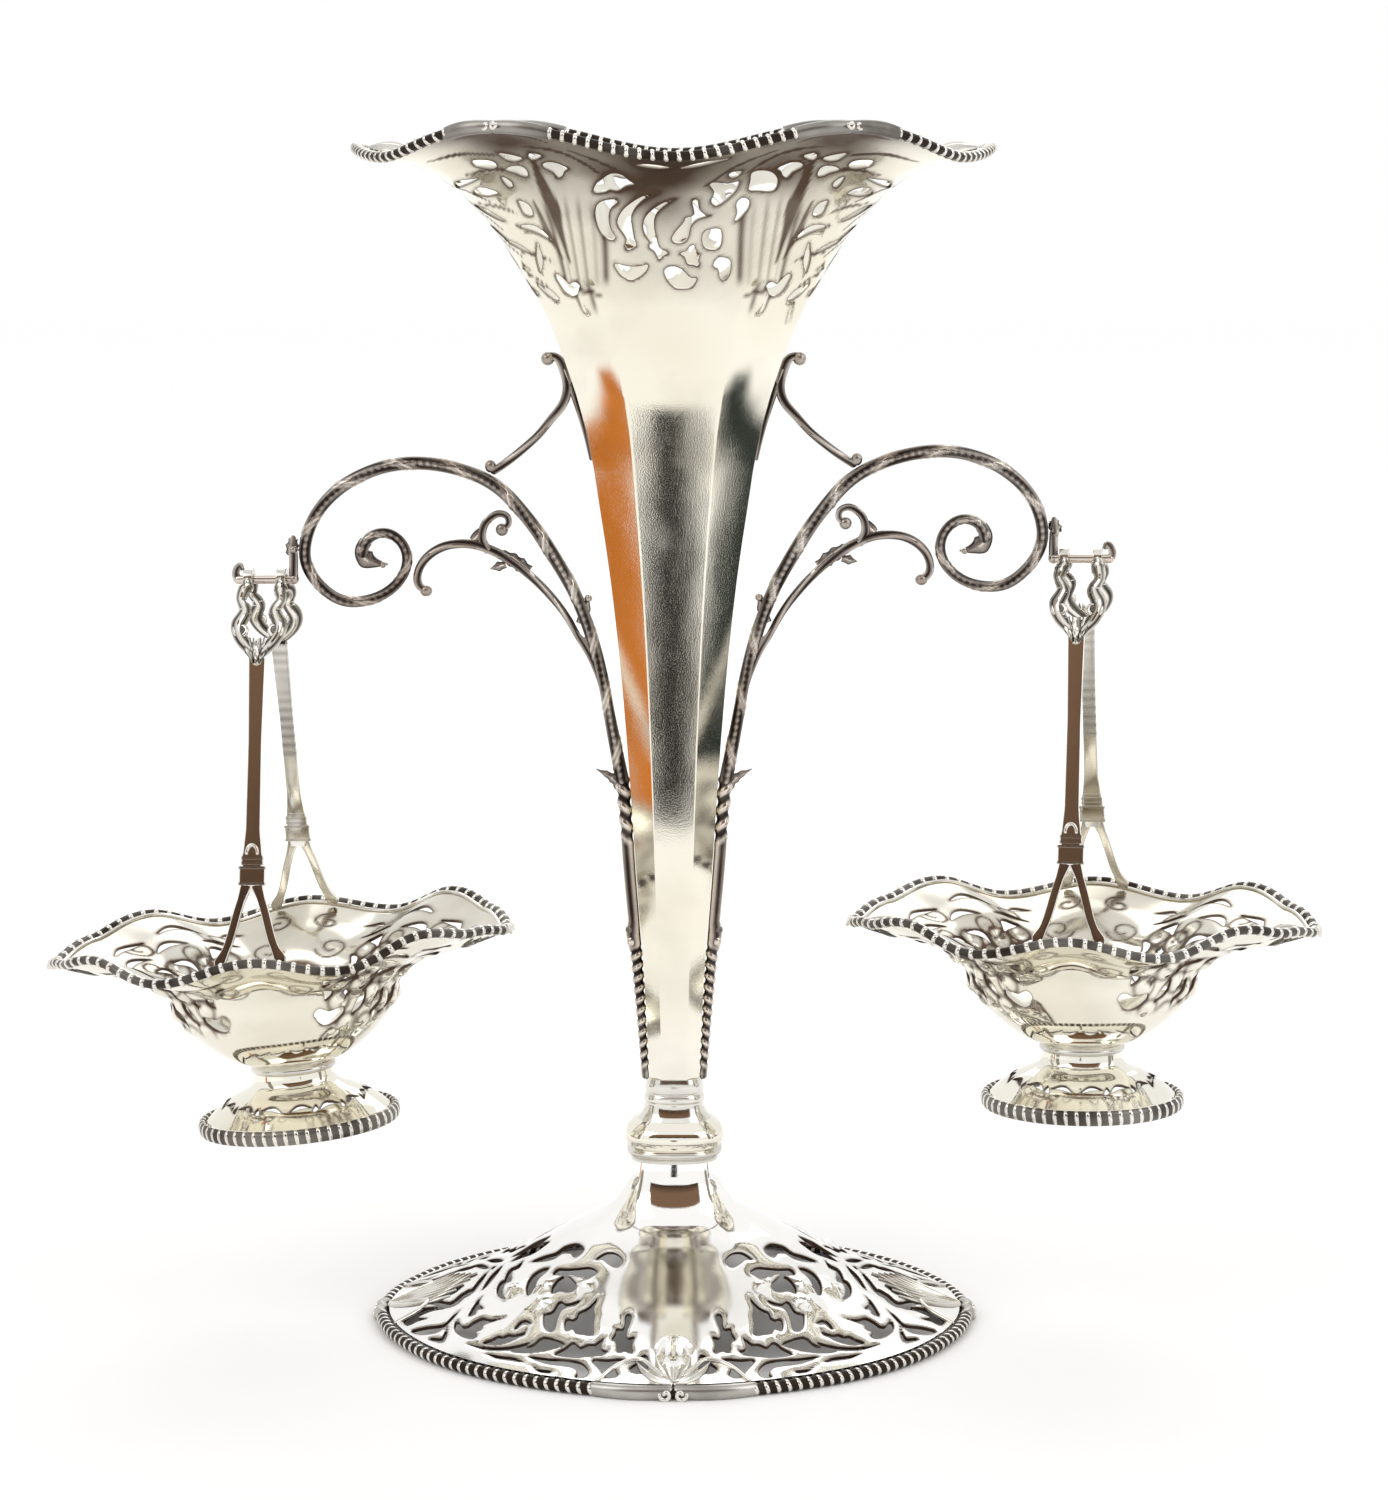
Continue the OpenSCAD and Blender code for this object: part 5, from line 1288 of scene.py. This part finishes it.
# %% Shells
def shell(sheet, wall, middle, half, span, height, ribs=4, columns=33, rows=18):
    """Fluted shell in relief on the inner face of a sheet."""
    i, j = np.meshgrid(np.linspace(-1, 1, columns), np.linspace(0.06, 0.94, rows), indexing="ij")
    lens = np.sin(np.pi * j)
    phi = math.radians(middle) + math.radians(half) * np.sqrt(lens) * i
    t = mix(span[0], span[1], j)
    flute = 0.75 + 0.25 * np.cos(ribs * TAU * i)
    lift = 0.25 + height * np.sqrt(np.maximum(1 - i**2, 0)) * lens * flute
    base, out = sheet(phi, t), normal(sheet, phi, t)
    top = (base - out * (wall + 0.1 + lift)[..., None]).reshape(-1, 3)
    low = (base - out * (wall * 0.6)).reshape(-1, 3)
    points, faces = thicken(top, low, net(columns, rows))
    tone = np.clip(0.75 - 0.75 * flute * np.sqrt(lens), 0, 1).ravel()
    return points, faces, np.concatenate([tone, tone])


def edge_arcs(line_at, q, half, width, height, dark):
    """Two plain arcs that run from the middle of a gap in a border to its ends."""
    parts = []
    for s in (-1, 1):
        centres, ways, ups = line_at(np.radians(q + s * np.linspace(0.05, 1, 40) * half))
        bulge = np.sin(np.pi * shares(40))
        centres = centres + ways * (0.2 * width * bulge)[:, None]
        parts.append(bar(centres, 0.5 * height * mix(0.96, 1.06, bulge), 16, ups[0], None, width / height,
                         dark))
    return parts


def edge_knot(line_at, q, width, knot):
    """Two small curls side by side on a border."""
    parts = []
    centre, way, up = (a[0] for a in line_at(np.radians(np.array([q]))))
    side = np.cross(up, way)
    for s in (-1, 1):
        spin = scroll((s * knot, 0), 0.8 * knot, 90 - s * 90, -s * 0.9, 0.3, 24)
        curl = centre + way * 0.55 * width + np.outer(spin[:, 0], side) + np.outer(spin[:, 1], up)
        parts.append(bar(curl, 0.3 * knot, 10, way, dark=0.1))
    return parts


def fan(sheet, q, inner, blades, spread, reach, width):
    """Shell of leaf blades that spread over a sheet from the middle of an edge scroll."""
    parts = []
    for k in np.linspace(-1, 1, blades):
        t = mix(reach[0], reach[1] - 0.35 * (reach[1] - reach[0]) * abs(k), shares(12))
        phi = math.radians(q) + math.radians(spread) * k * shares(12) ** 0.7
        out = normal(sheet, phi, t) * inner
        side = unit(sheet(phi + 0.02, t) - sheet(phi - 0.02, t))[6]
        parts.append(leaf(sheet(phi, t) + out * 0.9, width, side * inner, 0.25, 0, 0.6, dark=0.2))
    return parts


print("shells, arcs, knots and fans ready")

# %% Shells in place
parts = []
for q, half, spread, reach in ((0, 4.4, 11, 0.2), (90, 15, 8, 0.12), (180, 4.4, 11, 0.2), (270, 15, 8, 0.12)):
    parts += edge_arcs(foot_at, q, half, 4.4, 3.7, 0.5) + edge_knot(foot_at, q, 4.4, 2.2)
    parts += fan(foot_skin, q, 1, 9, spread, (0.0, reach), 1.6)
    for s in (-1, 1):
        phi = np.radians(q + s * spline([[2], [7], [12], [14.6]], shares(30))[:, 0])
        t = spline([[0.03], [0.085], [0.06], [0]], shares(30))[:, 0]
        loop = foot_skin(phi, t) + normal(foot_skin, phi, t) * 0.5
        parts.append(bar(loop, mix(0.95, 0.6, shares(30)), 10, (0, 0, 1), dark=0.15))
piece("foot_scrolls", parts, CAST, replaces=["foot_shells"])
parts = []
for q in (60, 120, 240, 300):
    parts += edge_arcs(mouth_at, q, 9, 3.9, 3.4, 0.72) + edge_knot(mouth_at, q, 3.9, 1.5)
for q in (0, 180):
    parts.append(shell(vase_sheet, WALL, q, 12, (0.885, 0.995), 2.6, 5))
    parts += fan(vase_sheet, q, -1, 9, 11, (0.9, 0.995), 1.9) + edge_knot(mouth_at, q, 2.2, 1.8)
piece("mouth_scrolls", parts, CAST, replaces=["vase_shells"])

# %% [markdown]
# ## The baskets' sheet
# Each bowl is pierced on both sides of a plain front panel: a large round kidney beside the panel, then
# slanting commas and leaf slots towards the ends. The pedestal under it has a short pierced apron. Both
# baskets are drawn once and set in place by the same turns as their CAD bodies.

# %% Bowls and pedestals
RIM_WIDTH, PEDESTAL_BORDER_LOW = 3.6, -167.5
BOWL_SIDE = [
    hole([(25, 0.2), (30, 0.14), (36, 0.2)], 0.05, 0.075),
    hole([(26, 0.46), (29, 0.4), (28, 0.33)], 0.01, 0.036),
    *star(38, 0.36, 0.05),
    hole([(44, 0.16), (48, 0.24), (50, 0.34)], 0.012, 0.046),
    hole([(40, 0.52), (36, 0.6), (30, 0.62)], 0.01, 0.04),
    hole([(58, 0.12), (60, 0.22), (64, 0.32)], 0.012, 0.046),
    hole([(52, 0.42), (54, 0.52), (60, 0.58)], 0.01, 0.036),
    hole([(72, 0.14), (74, 0.24), (79, 0.33)], 0.012, 0.046),
    hole([(66, 0.42), (69, 0.52), (75, 0.57)], 0.01, 0.036),
    hole([(82, 0.48), (87, 0.4), (86, 0.3)], 0.008, 0.03),
    hole([(24, 0.69), (31, 0.73), (38, 0.7)], 0.006, 0.028),
    hole([(46, 0.68), (53, 0.73), (60, 0.71)], 0.006, 0.028),
    hole([(68, 0.68), (75, 0.73), (82, 0.71)], 0.006, 0.028),
    hole([(34, 0.83), (42, 0.86), (50, 0.84)], 0.005, 0.022),
    hole([(58, 0.83), (66, 0.86), (74, 0.84)], 0.005, 0.022),
    hole([(20, 0.84), (24, 0.86), (27, 0.83)], 0.005, 0.02),
]
BOWL_BOSSES = [(35, 0.3), (41, 0.08), (45, 0.45), (55, 0.32), (54, 0.04), (66, 0.22), (68, 0.02), (80, 0.18),
               (33, 0.52), (62, 0.5), (77, 0.46)]
APRON_SIDE = [hole([(a - 9, 0.28), (a, 0.38), (a + 9, 0.33)], 0.008, 0.05) for a in (12, 36, 60, 83)]
APRON_SIDE += [hole([(a - 3, 0.24), (a, 0.3), (a + 1, 0.38)], 0.006, 0.034) for a in (24, 48, 72)]
BOWL_LINES = [(scroll((math.radians(a), v), r, start, turns, 0.25, 26), 0.004) for a, v, r, start, turns in (
    (14, 0.55, 0.13, 200, 1.3), (30, 0.78, 0.11, 20, -1.2), (47, 0.58, 0.13, 160, 1.3),
    (63, 0.8, 0.1, 10, -1.2), (74, 0.6, 0.12, 190, 1.2), (86, 0.8, 0.1, 30, -1.1), (8, 0.82, 0.08, 90, 1.1))]


def sawn(sheet, side, bosses, lines, base, stretch, low, high, scale, lift):
    """Drawing of a sheet with holes, bosses and chased lines, the same to left and right."""
    holes = side + [(p * [-1, 1], half) for p, half in side]

    def drawing(phi, t):
        u, v = front_chart(phi), (heights_in_radii(sheet, t) - base) * stretch
        gap = np.full(np.shape(u), 1.0)
        near = (v > low - 0.1) & (v < high + 0.1)
        gap[near] = np.min([stroke_gap(u[near], v[near], *h) for h in holes], axis=0)
        chased = smooth(low - 0.04, low + 0.1, v) * smooth(high, high - 0.06, v)
        # tarnish and painted shade: the sheet darkens at the edges of its holes
        relief, dark = 0 * u, 0.85 * np.exp(-np.maximum(gap, 0) / 0.008)
        for a, height in bosses:
            far = np.hypot(np.abs(u) - math.radians(a), v - height) / 0.07
            relief = relief + lift * np.exp(-(far**2))
            dark = dark + 0.7 * np.exp(-(((far - 1.4) / 0.3) ** 2))
        for line in lines:
            dark = dark + 0.75 * np.exp(-np.maximum(stroke_gap(np.abs(u), v, *line), 0) / 0.007)
        return gap * scale, relief * chased, np.clip(dark * chased, 0, 1)
    return drawing


def plate(ring, thick, dark=0.1):
    """Flat plate over a level ring."""
    n = len(ring)
    return np.vstack([ring, ring + [0, 0, thick]]), lids(2, n) + tube(2, n), dark


def rim_at(phi):
    return edge_line(bowl_sheet, WALL, RIM_WIDTH, phi)


def closed_run(line):
    """Points and ways out of an edge, back to its start."""
    return tuple(np.vstack([a, a[:1]]) for a in line[:2])


print("bowl:", len(BOWL_SIDE), "strokes a side; apron:", len(APRON_SIDE))

# %% The baskets in place
PLACES = {}
for side, facts in SIDES.items():
    tilt = Matrix.Rotation(math.radians(side * facts["tilt"]), 4, "Y")
    bend = Matrix.Translation((0, 0, -BOWL_DROP)) @ tilt @ Matrix.Translation((0, 0, BOWL_DROP))
    PLACES[side] = hook_matrix(side), hook_matrix(side) @ np.array(bend)

bowl_rows = np.concatenate([np.linspace(0, 0.4, 16), np.linspace(0.4, 1, 62)[1:]])
bowl_drawing = sawn(bowl_sheet, BOWL_SIDE, BOWL_BOSSES, BOWL_LINES, 1.12, 0.82, 0.0, 0.95, 30, 1.5)
ring = bowl_sheet(around, 0 * around)
bowl_parts = [sheet_solid(bowl_sheet, WALL, 440, bowl_rows, bowl_drawing), plate(ring, WALL)]
shells = []
for q in (0, 180):
    shells.append(shell(bowl_sheet, WALL, q, 13, (0.82, 0.99), 1.6))
    shells += fan(bowl_sheet, q, -1, 9, 14, (0.84, 0.995), 1.7) + edge_knot(rim_at, q, 2.6, 2.0)
pedestal_rows = np.concatenate([np.linspace(0, 0.5, 34), np.linspace(0.5, 1, 14)[1:]])
apron_drawing = sawn(pedestal_sheet, APRON_SIDE, [], [], 0, 1, 0.12, 0.55, 19, 0)
pedestal_parts = [sheet_solid(pedestal_sheet, WALL, 300, pedestal_rows, apron_drawing)]
collar_profile = spline([[1, 0], [1.08, 0.3], [1.08, 0.7], [1, 1]], shares(14))
collar = np.stack([np.stack([ring[:, 0] * r, ring[:, 1] * r, np.full(len(ring), PEDESTAL_TOP + 2.4 * h)], -1)
                   for r, h in collar_profile])
collar_faces = tube(*collar.shape[:2]) + lids(*collar.shape[:2])
rim = rim_at(around)
foot_rim = foot_line(pedestal_sheet, PEDESTAL_BORDER_LOW, 3, 5, around)
inner_rim = (rim[0] - rim[1] * 1.9 + rim[2] * 0.75, rim[1], rim[2])
for side, facts in SIDES.items():
    name, body, place = "basket_" + facts["hand"], "basket_" + facts["hand"], PLACES[side][1]
    piece(name + "_sheet", bowl_parts, SHEET, body, [name + "_bowl"], place)
    piece(name + "_rim_core", [ring_solid(*rim, 3.0, 2.6, 0.93), ring_solid(*inner_rim, 1.2, 1.0, 0.1, 8)],
          CAST, body, replaces=[name + "_border"], place=place)
    lobes(name + "_rim_lobes", [closed_run(rim)], 4.2, RIM_WIDTH, 3.3, 8, CAST, body, place, 0.6)
    piece(name + "_end_shells", shells, CAST, body, replaces=[name + "_shells"], place=place)
    piece(name + "_ring", [(collar.reshape(-1, 3), collar_faces, 0.2)], CAST, body,
          replaces=[name + "_collar"], place=place)
    piece(name + "_apron", pedestal_parts, SHEET, body, [name + "_pedestal"], place)
    piece(name + "_foot_core", [ring_solid(*foot_rim, 2.5, 4.6, 0.85, 12)], CAST, body,
          replaces=[name + "_foot_border"], place=place)
    lobes(name + "_foot_lobes", [closed_run(foot_rim)], 3.2, 3.0, 4.9, 6, CAST, body, place, 0.8)

# %% [markdown]
# ## The handles
# Two loops ride on the hook bar. Under them a scrolled frame like a keyhole narrows to a calyx, from
# which a flat polished strap runs down at the front and the back to a ring band and a fork with leaf feet
# on the bowl's edge.

# %% Handles
def flat_bar(points, widths, thick, dark=0.0, corner=0.16, sides=20):
    """Flat bar with rounded edges, wide along X."""
    p, w = np.asarray(points, float), np.asarray(widths, float)
    along = unit(np.gradient(p, axis=0))
    across = np.tile([1.0, 0, 0], (len(p), 1))
    across = unit(across - (along @ [1.0, 0, 0])[:, None] * along)
    out = np.cross(along, across)
    a = (np.arange(sides) + 0.5) * TAU / sides
    x = np.sign(np.cos(a)) * np.abs(np.cos(a)) ** corner
    y = np.sign(np.sin(a)) * np.abs(np.sin(a)) ** corner
    rings = p[:, None] + across[:, None] * (x[None] * w[:, None] / 2)[..., None]
    rings = rings + out[:, None] * (y * thick / 2)[None, :, None]
    return rings.reshape(-1, 3), tube(len(p), sides) + lids(len(p), sides), dark


LOOP_BORE, LOOP_THICK, LOOP_OUT = 1.65, 1.8, 3.075
FRAME_DROP, FRAME_HALF = 20, 6.2
FRAME = [[0.9, 0.15], [0.96, 0.26], [0.72, 0.42], [1, 0.62], [0.8, 0.8], [0.28, 0.96], [0, 1]]


def frame_line(drop):
    """How far the frame stands out at a drop below the hook."""
    return mix(LOOP_OUT, 16.6, (drop / FRAME_DROP) ** 0.75)


def flutes(s, a):
    return 0.26 * np.cos(4 * a + 0.4) - 0.04


def frame_parts():
    parts = []
    for face in (-1, 1):
        for s in (-1, 1):
            down = [[5, LOOP_OUT, -0.52], [5, LOOP_OUT, -1.95]]
            down += [[FRAME_HALF * x, frame_line(FRAME_DROP * d), -FRAME_DROP * d] for x, d in FRAME]
            line = spline(np.array(down) * [s, face, 1], shares(90))
            swelling = np.interp(shares(90), [0, 0.2, 0.4, 0.6, 0.8, 1], [1.5, 2.0, 1.4, 2.2, 1.8, 1.4])
            parts.append(bar(line, swelling, 20, (0, face, 0.3), flutes, dark=0.2 if face < 0 else 0.5))
            for drop in (7.6, 8.9):
                x = np.interp(drop, [5.2, 8.4, 12.4], [5.95, 4.5, 6.2])
                parts.append(ball((s * x, face * frame_line(drop), -drop), [1.9, 1.8, 0.5], 0.1))
            volute = scroll((s * 4.9, -13.4), 2.2, 60 if s > 0 else 120, -s * 1.3, 0.25, 34)
            out = face * (frame_line(-volute[:, 1]) + 0.8)
            parts.append(bar(np.stack([volute[:, 0], out, volute[:, 1]], -1), mix(0.95, 0.6, shares(34)), 12,
                             (0, 1, 0), dark=0.05))
            parts.append(ball((s * 4.9, face * (frame_line(13.4) + 1.3), -13.4), [1.2, 0.9, 1.2], 0.75))
        parts.append(ball((0, face * 18.0, -22.2), [1.3, 1.0, 1.2], 0.1))
        for x, half in ((-3.0, 1.5), (3.0, 1.5), (0, 1.9)):
            tip = [[x, face * 14.8, -16.2], [0.7 * x, face * 17.0, -19.4], [0.3 * x, face * 18.4, -23]]
            parts.append(leaf(spline(tip, shares(14)), half, (-face, 0, 0), 0.3, 2, 0.9, dark=0.15))
    return parts


def loop_parts():
    parts = []
    for s in (-1, 1):
        a = degrees(0, 180, 40)
        r = LOOP_BORE + LOOP_THICK / 2
        hoop = np.stack([np.full(40, s * 5.0), r * np.cos(a), r * np.sin(a)], -1)
        parts.append(flat_bar(hoop, np.full(40, 2.8), LOOP_THICK, 0.2))
    return parts


print("frames and loops ready")

# %% Straps
FORK_HALF = 9.8
seat_phi, seat_t = np.array([math.acos(FORK_HALF / BOWL_LONG)]), np.array([0.97])
SEAT = (bowl_sheet(seat_phi, seat_t) - normal(bowl_sheet, seat_phi, seat_t) * 2.05)[0]
STRAP_TOP, BAND_TOP, BAND_LOW = -21.45, -76.5, -80.5


def strap_line(z):
    """Middle of the back strap at these heights."""
    z = np.asarray(z, float)
    return np.stack([0 * z, mix(16.86, SEAT[1], (z - STRAP_TOP) / (SEAT[2] - STRAP_TOP)), z], -1)


def strap_parts(face, side):
    z = np.linspace(STRAP_TOP, BAND_TOP, 40)
    mottle = np.repeat(np.interp(z, [-60, -56], [0.0, 0.42]) * (face > 0) * (1 + 0.5 * np.sin(z * 2.3)), 20)
    wide = np.interp(z, [BAND_TOP, -70, -45, STRAP_TOP], [5.6, 4.3, 4.0, 4.9])
    swell = spline([[5.6], [6.4], [5.6]], shares(12))[:, 0]
    parts = [flat_bar(strap_line(z), wide, 1.7, mottle),
             flat_bar(strap_line(np.linspace(BAND_TOP, BAND_LOW, 12)), swell, 1.9, 0.1)]
    parts += [flat_bar(strap_line([h, h - 0.8]), [6.6, 6.6], 2.2, 0.2) for h in (-77.6, -79.1)]
    parts.append(flat_bar(strap_line(np.linspace(BAND_LOW, -85.5, 8)), np.full(8, 7.6), 1.9, 0.05))
    parts += [flat_bar(strap_line([h, h - 0.7]), [8.0, 8.0], 2.3, 0.25) for h in (-80.4, -84.9)]
    fork = strap_line(-86.0)
    tilt = math.radians(side * SIDES[side]["tilt"])
    for s in (-1, 1):
        high = SEAT[2] + BOWL_DROP
        foot = np.array([s * FORK_HALF * math.cos(tilt) + high * math.sin(tilt), SEAT[1],
                         high * math.cos(tilt) - s * FORK_HALF * math.sin(tilt) - BOWL_DROP])
        leg = spline([fork + [s * 1.5, 0, 0.4], mix(fork, foot, 0.3) * [0, 1, 1] + [foot[0] * 0.4, 0, 0],
                      mix(fork, foot, 0.72) * [0, 1, 1] + [foot[0] * 0.68, 0, 0], foot], shares(30))
        wide = np.interp(shares(30), [0, 0.2, 0.75, 0.92, 1], [3.4, 2.4, 2.4, 3.6, 1.4])
        parts.append(flat_bar(leg, wide, 1.6, 0.05))
    a = degrees(0, 180, 20)
    arch = np.stack([1.6 * np.cos(a), np.full(20, 1.1), 2.3 * np.sin(a) - 76.4], -1)
    arch[:, 1] += strap_line(arch[:, 2])[:, 1]
    parts.append(bar(arch, 0.5, 10, (0, 1, 0), dark=0.1))
    crotch = [fork + [0, 0, 0.6], fork + [0, 0, -1.6]]
    parts.append(flat_bar(crotch, [5.4, 4.6], 1.6, 0.1))
    return parts if face > 0 else mirrored(parts, [1, -1, 1])


print("straps seat at", SEAT.round(1))

# %% Handles in place
for side, facts in SIDES.items():
    name, place = "basket_" + facts["hand"], PLACES[side][0]
    piece(name + "_loop_pair", loop_parts(), CAST, name, replaces=[name + "_loops"], place=place)
    piece(name + "_keyhole", frame_parts(), CAST, name, replaces=[name + "_frame"], place=place)
    piece(name + "_front_strap", strap_parts(-1, side), STRAP, name, replaces=[name + "_strap_front"],
          place=place)
    piece(name + "_back_strap", strap_parts(1, side), CAST, name, replaces=[name + "_strap_back"],
          place=place)

# %% [markdown]
# ## Light and floor
# Silver shows little but what stands round it. A white world lights it from all sides and is also what it
# mirrors, so a few plain cards stand well away from it and give it its darks, as is done for pictures of
# silver: a dark one in front, a warm one and a grey one beside it, and a brown one high behind the
# camera. Only reflections see them, so they cast no shadow and never stand in the picture.

# %% Cards that only reflections see
card_material = bpy.data.materials.new("card")
card_material.use_nodes = True
tree = card_material.node_tree
shade = node(tree, "ShaderNodeAttribute", attribute_name="shade").outputs["Color"]
cloud = ramp(tree, noise_at(tree, 40, 2), 0.3, 0.7, 0.8, 1.2)
light = node(tree, "ShaderNodeEmission")
tree.links.new(shade, light.inputs["Color"])
tree.links.new(cloud, light.inputs["Strength"])
tree.links.new(light.outputs[0], tree.nodes["Material Output"].inputs["Surface"])


def card(name, rows, colours):
    """Card between two edges: rows of (left, right) in millimetres, with a colour for each row."""
    n = len(rows)
    mesh = bpy.data.meshes.new(name)
    mesh.from_pydata((np.reshape(rows, (-1, 3)) / 1000).tolist(), [],
                     [(2 * i, 2 * i + 1, 2 * i + 3, 2 * i + 2) for i in range(n - 1)])
    shades = np.repeat(np.column_stack([np.broadcast_to(colours, (n, 3)), np.ones(n)]), 2, 0)
    shade = mesh.attributes.new("shade", "FLOAT_COLOR", "POINT")
    shade.data.foreach_set("color", shades.astype(np.float32).ravel())
    mesh.materials.append(card_material)
    made = bpy.data.objects.new(name, mesh)
    bpy.context.collection.objects.link(made)
    made.visible_camera = made.visible_diffuse = made.visible_shadow = False
    print("card", name, n, "rows")


card("front_card", [[(-17, -550, z), (9, -550, z)] for z in (2, 96)], (0.024, 0.02, 0.021))
card("left_card", [[(-500, -120, z), (-500, -84, z)] for z in (2, 112)], (0.62, 0.2, 0.035))
card("right_card", [[(500, -84, z), (500, -120, z)] for z in (2, 112)], (0.035, 0.042, 0.038))
high, low = np.array([0.2, 0.12, 0.075]), np.array([0.03, 0.018, 0.012])
card("brown_card", [[(-1200, -1600, z), (1200, -1600, z)] for z in (600, 1000, 1700)], [low, high, high])
card("grey_left", [[(-1400, -700, z), (-1250, -350, z)] for z in (-100, 1100)], (0.3, 0.27, 0.22))
card("grey_right", [[(1250, -400, z), (1400, -750, z)] for z in (-100, 1100)], (0.3, 0.27, 0.22))

# %% World, floor and lamps
world = bpy.data.worlds.new("studio")
bpy.context.scene.world = world
world.use_nodes = True
world.node_tree.nodes["Background"].inputs["Color"].default_value = (1, 1, 1, 1)
world.node_tree.nodes["Background"].inputs["Strength"].default_value = 1

floor_mesh = bpy.data.meshes.new("floor")
floor_mesh.from_pydata([(-6, -6, 0), (6, -6, 0), (6, 6, 0), (-6, 6, 0)], [], [(0, 1, 2, 3)])
floor = bpy.data.objects.new("floor", floor_mesh)
bpy.context.collection.objects.link(floor)
floor_material = bpy.data.materials.new("floor")
floor_material.use_nodes = True
tree = floor_material.node_tree
shader = tree.nodes["Principled BSDF"]
far = node(tree, "ShaderNodeVectorMath", operation="LENGTH")
tree.links.new(node(tree, "ShaderNodeTexCoord").outputs["Object"], far.inputs[0])
pale = colour_mix(tree, ramp(tree, far.outputs["Value"], 0.3, 1.2, 0, 1), (0.9, 0.89, 0.88),
                  (0.99, 0.99, 0.99))
tree.links.new(pale, shader.inputs["Base Color"])
shader.inputs["Roughness"].default_value = 1
shader.inputs["Specular IOR Level"].default_value = 0
floor_mesh.materials.append(floor_material)

for name, place, turn, size, power in (
    ("key", (-1.2, -0.9, 1.6), (50, 0, -50), 1.2, 6),
    ("fill", (1.3, -0.7, 1.2), (58, 0, 60), 1.2, 5),
    ("back", (0.2, 1.3, 1.5), (-50, 0, 0), 1.4, 6),
):
    lamp = bpy.data.lights.new(name, "AREA")
    lamp.size = size
    lamp.energy = power
    made = bpy.data.objects.new(name, lamp)
    made.location = place
    made.rotation_euler = [math.radians(a) for a in turn]
    bpy.context.collection.objects.link(made)
print("stage set")

# %% [markdown]
# ## Fittings
# What is left of the CAD model showing is the plate, stud, washer and nut under the foot and the plug in
# the vase: brass, turned and never polished.

# %% Finish
for name in ("neck_plate", "tie_stud", "tie_washer", "tie_nut", "vase_plug"):
    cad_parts[name].data.materials.clear()
    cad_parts[name].data.materials.append(BRASS)
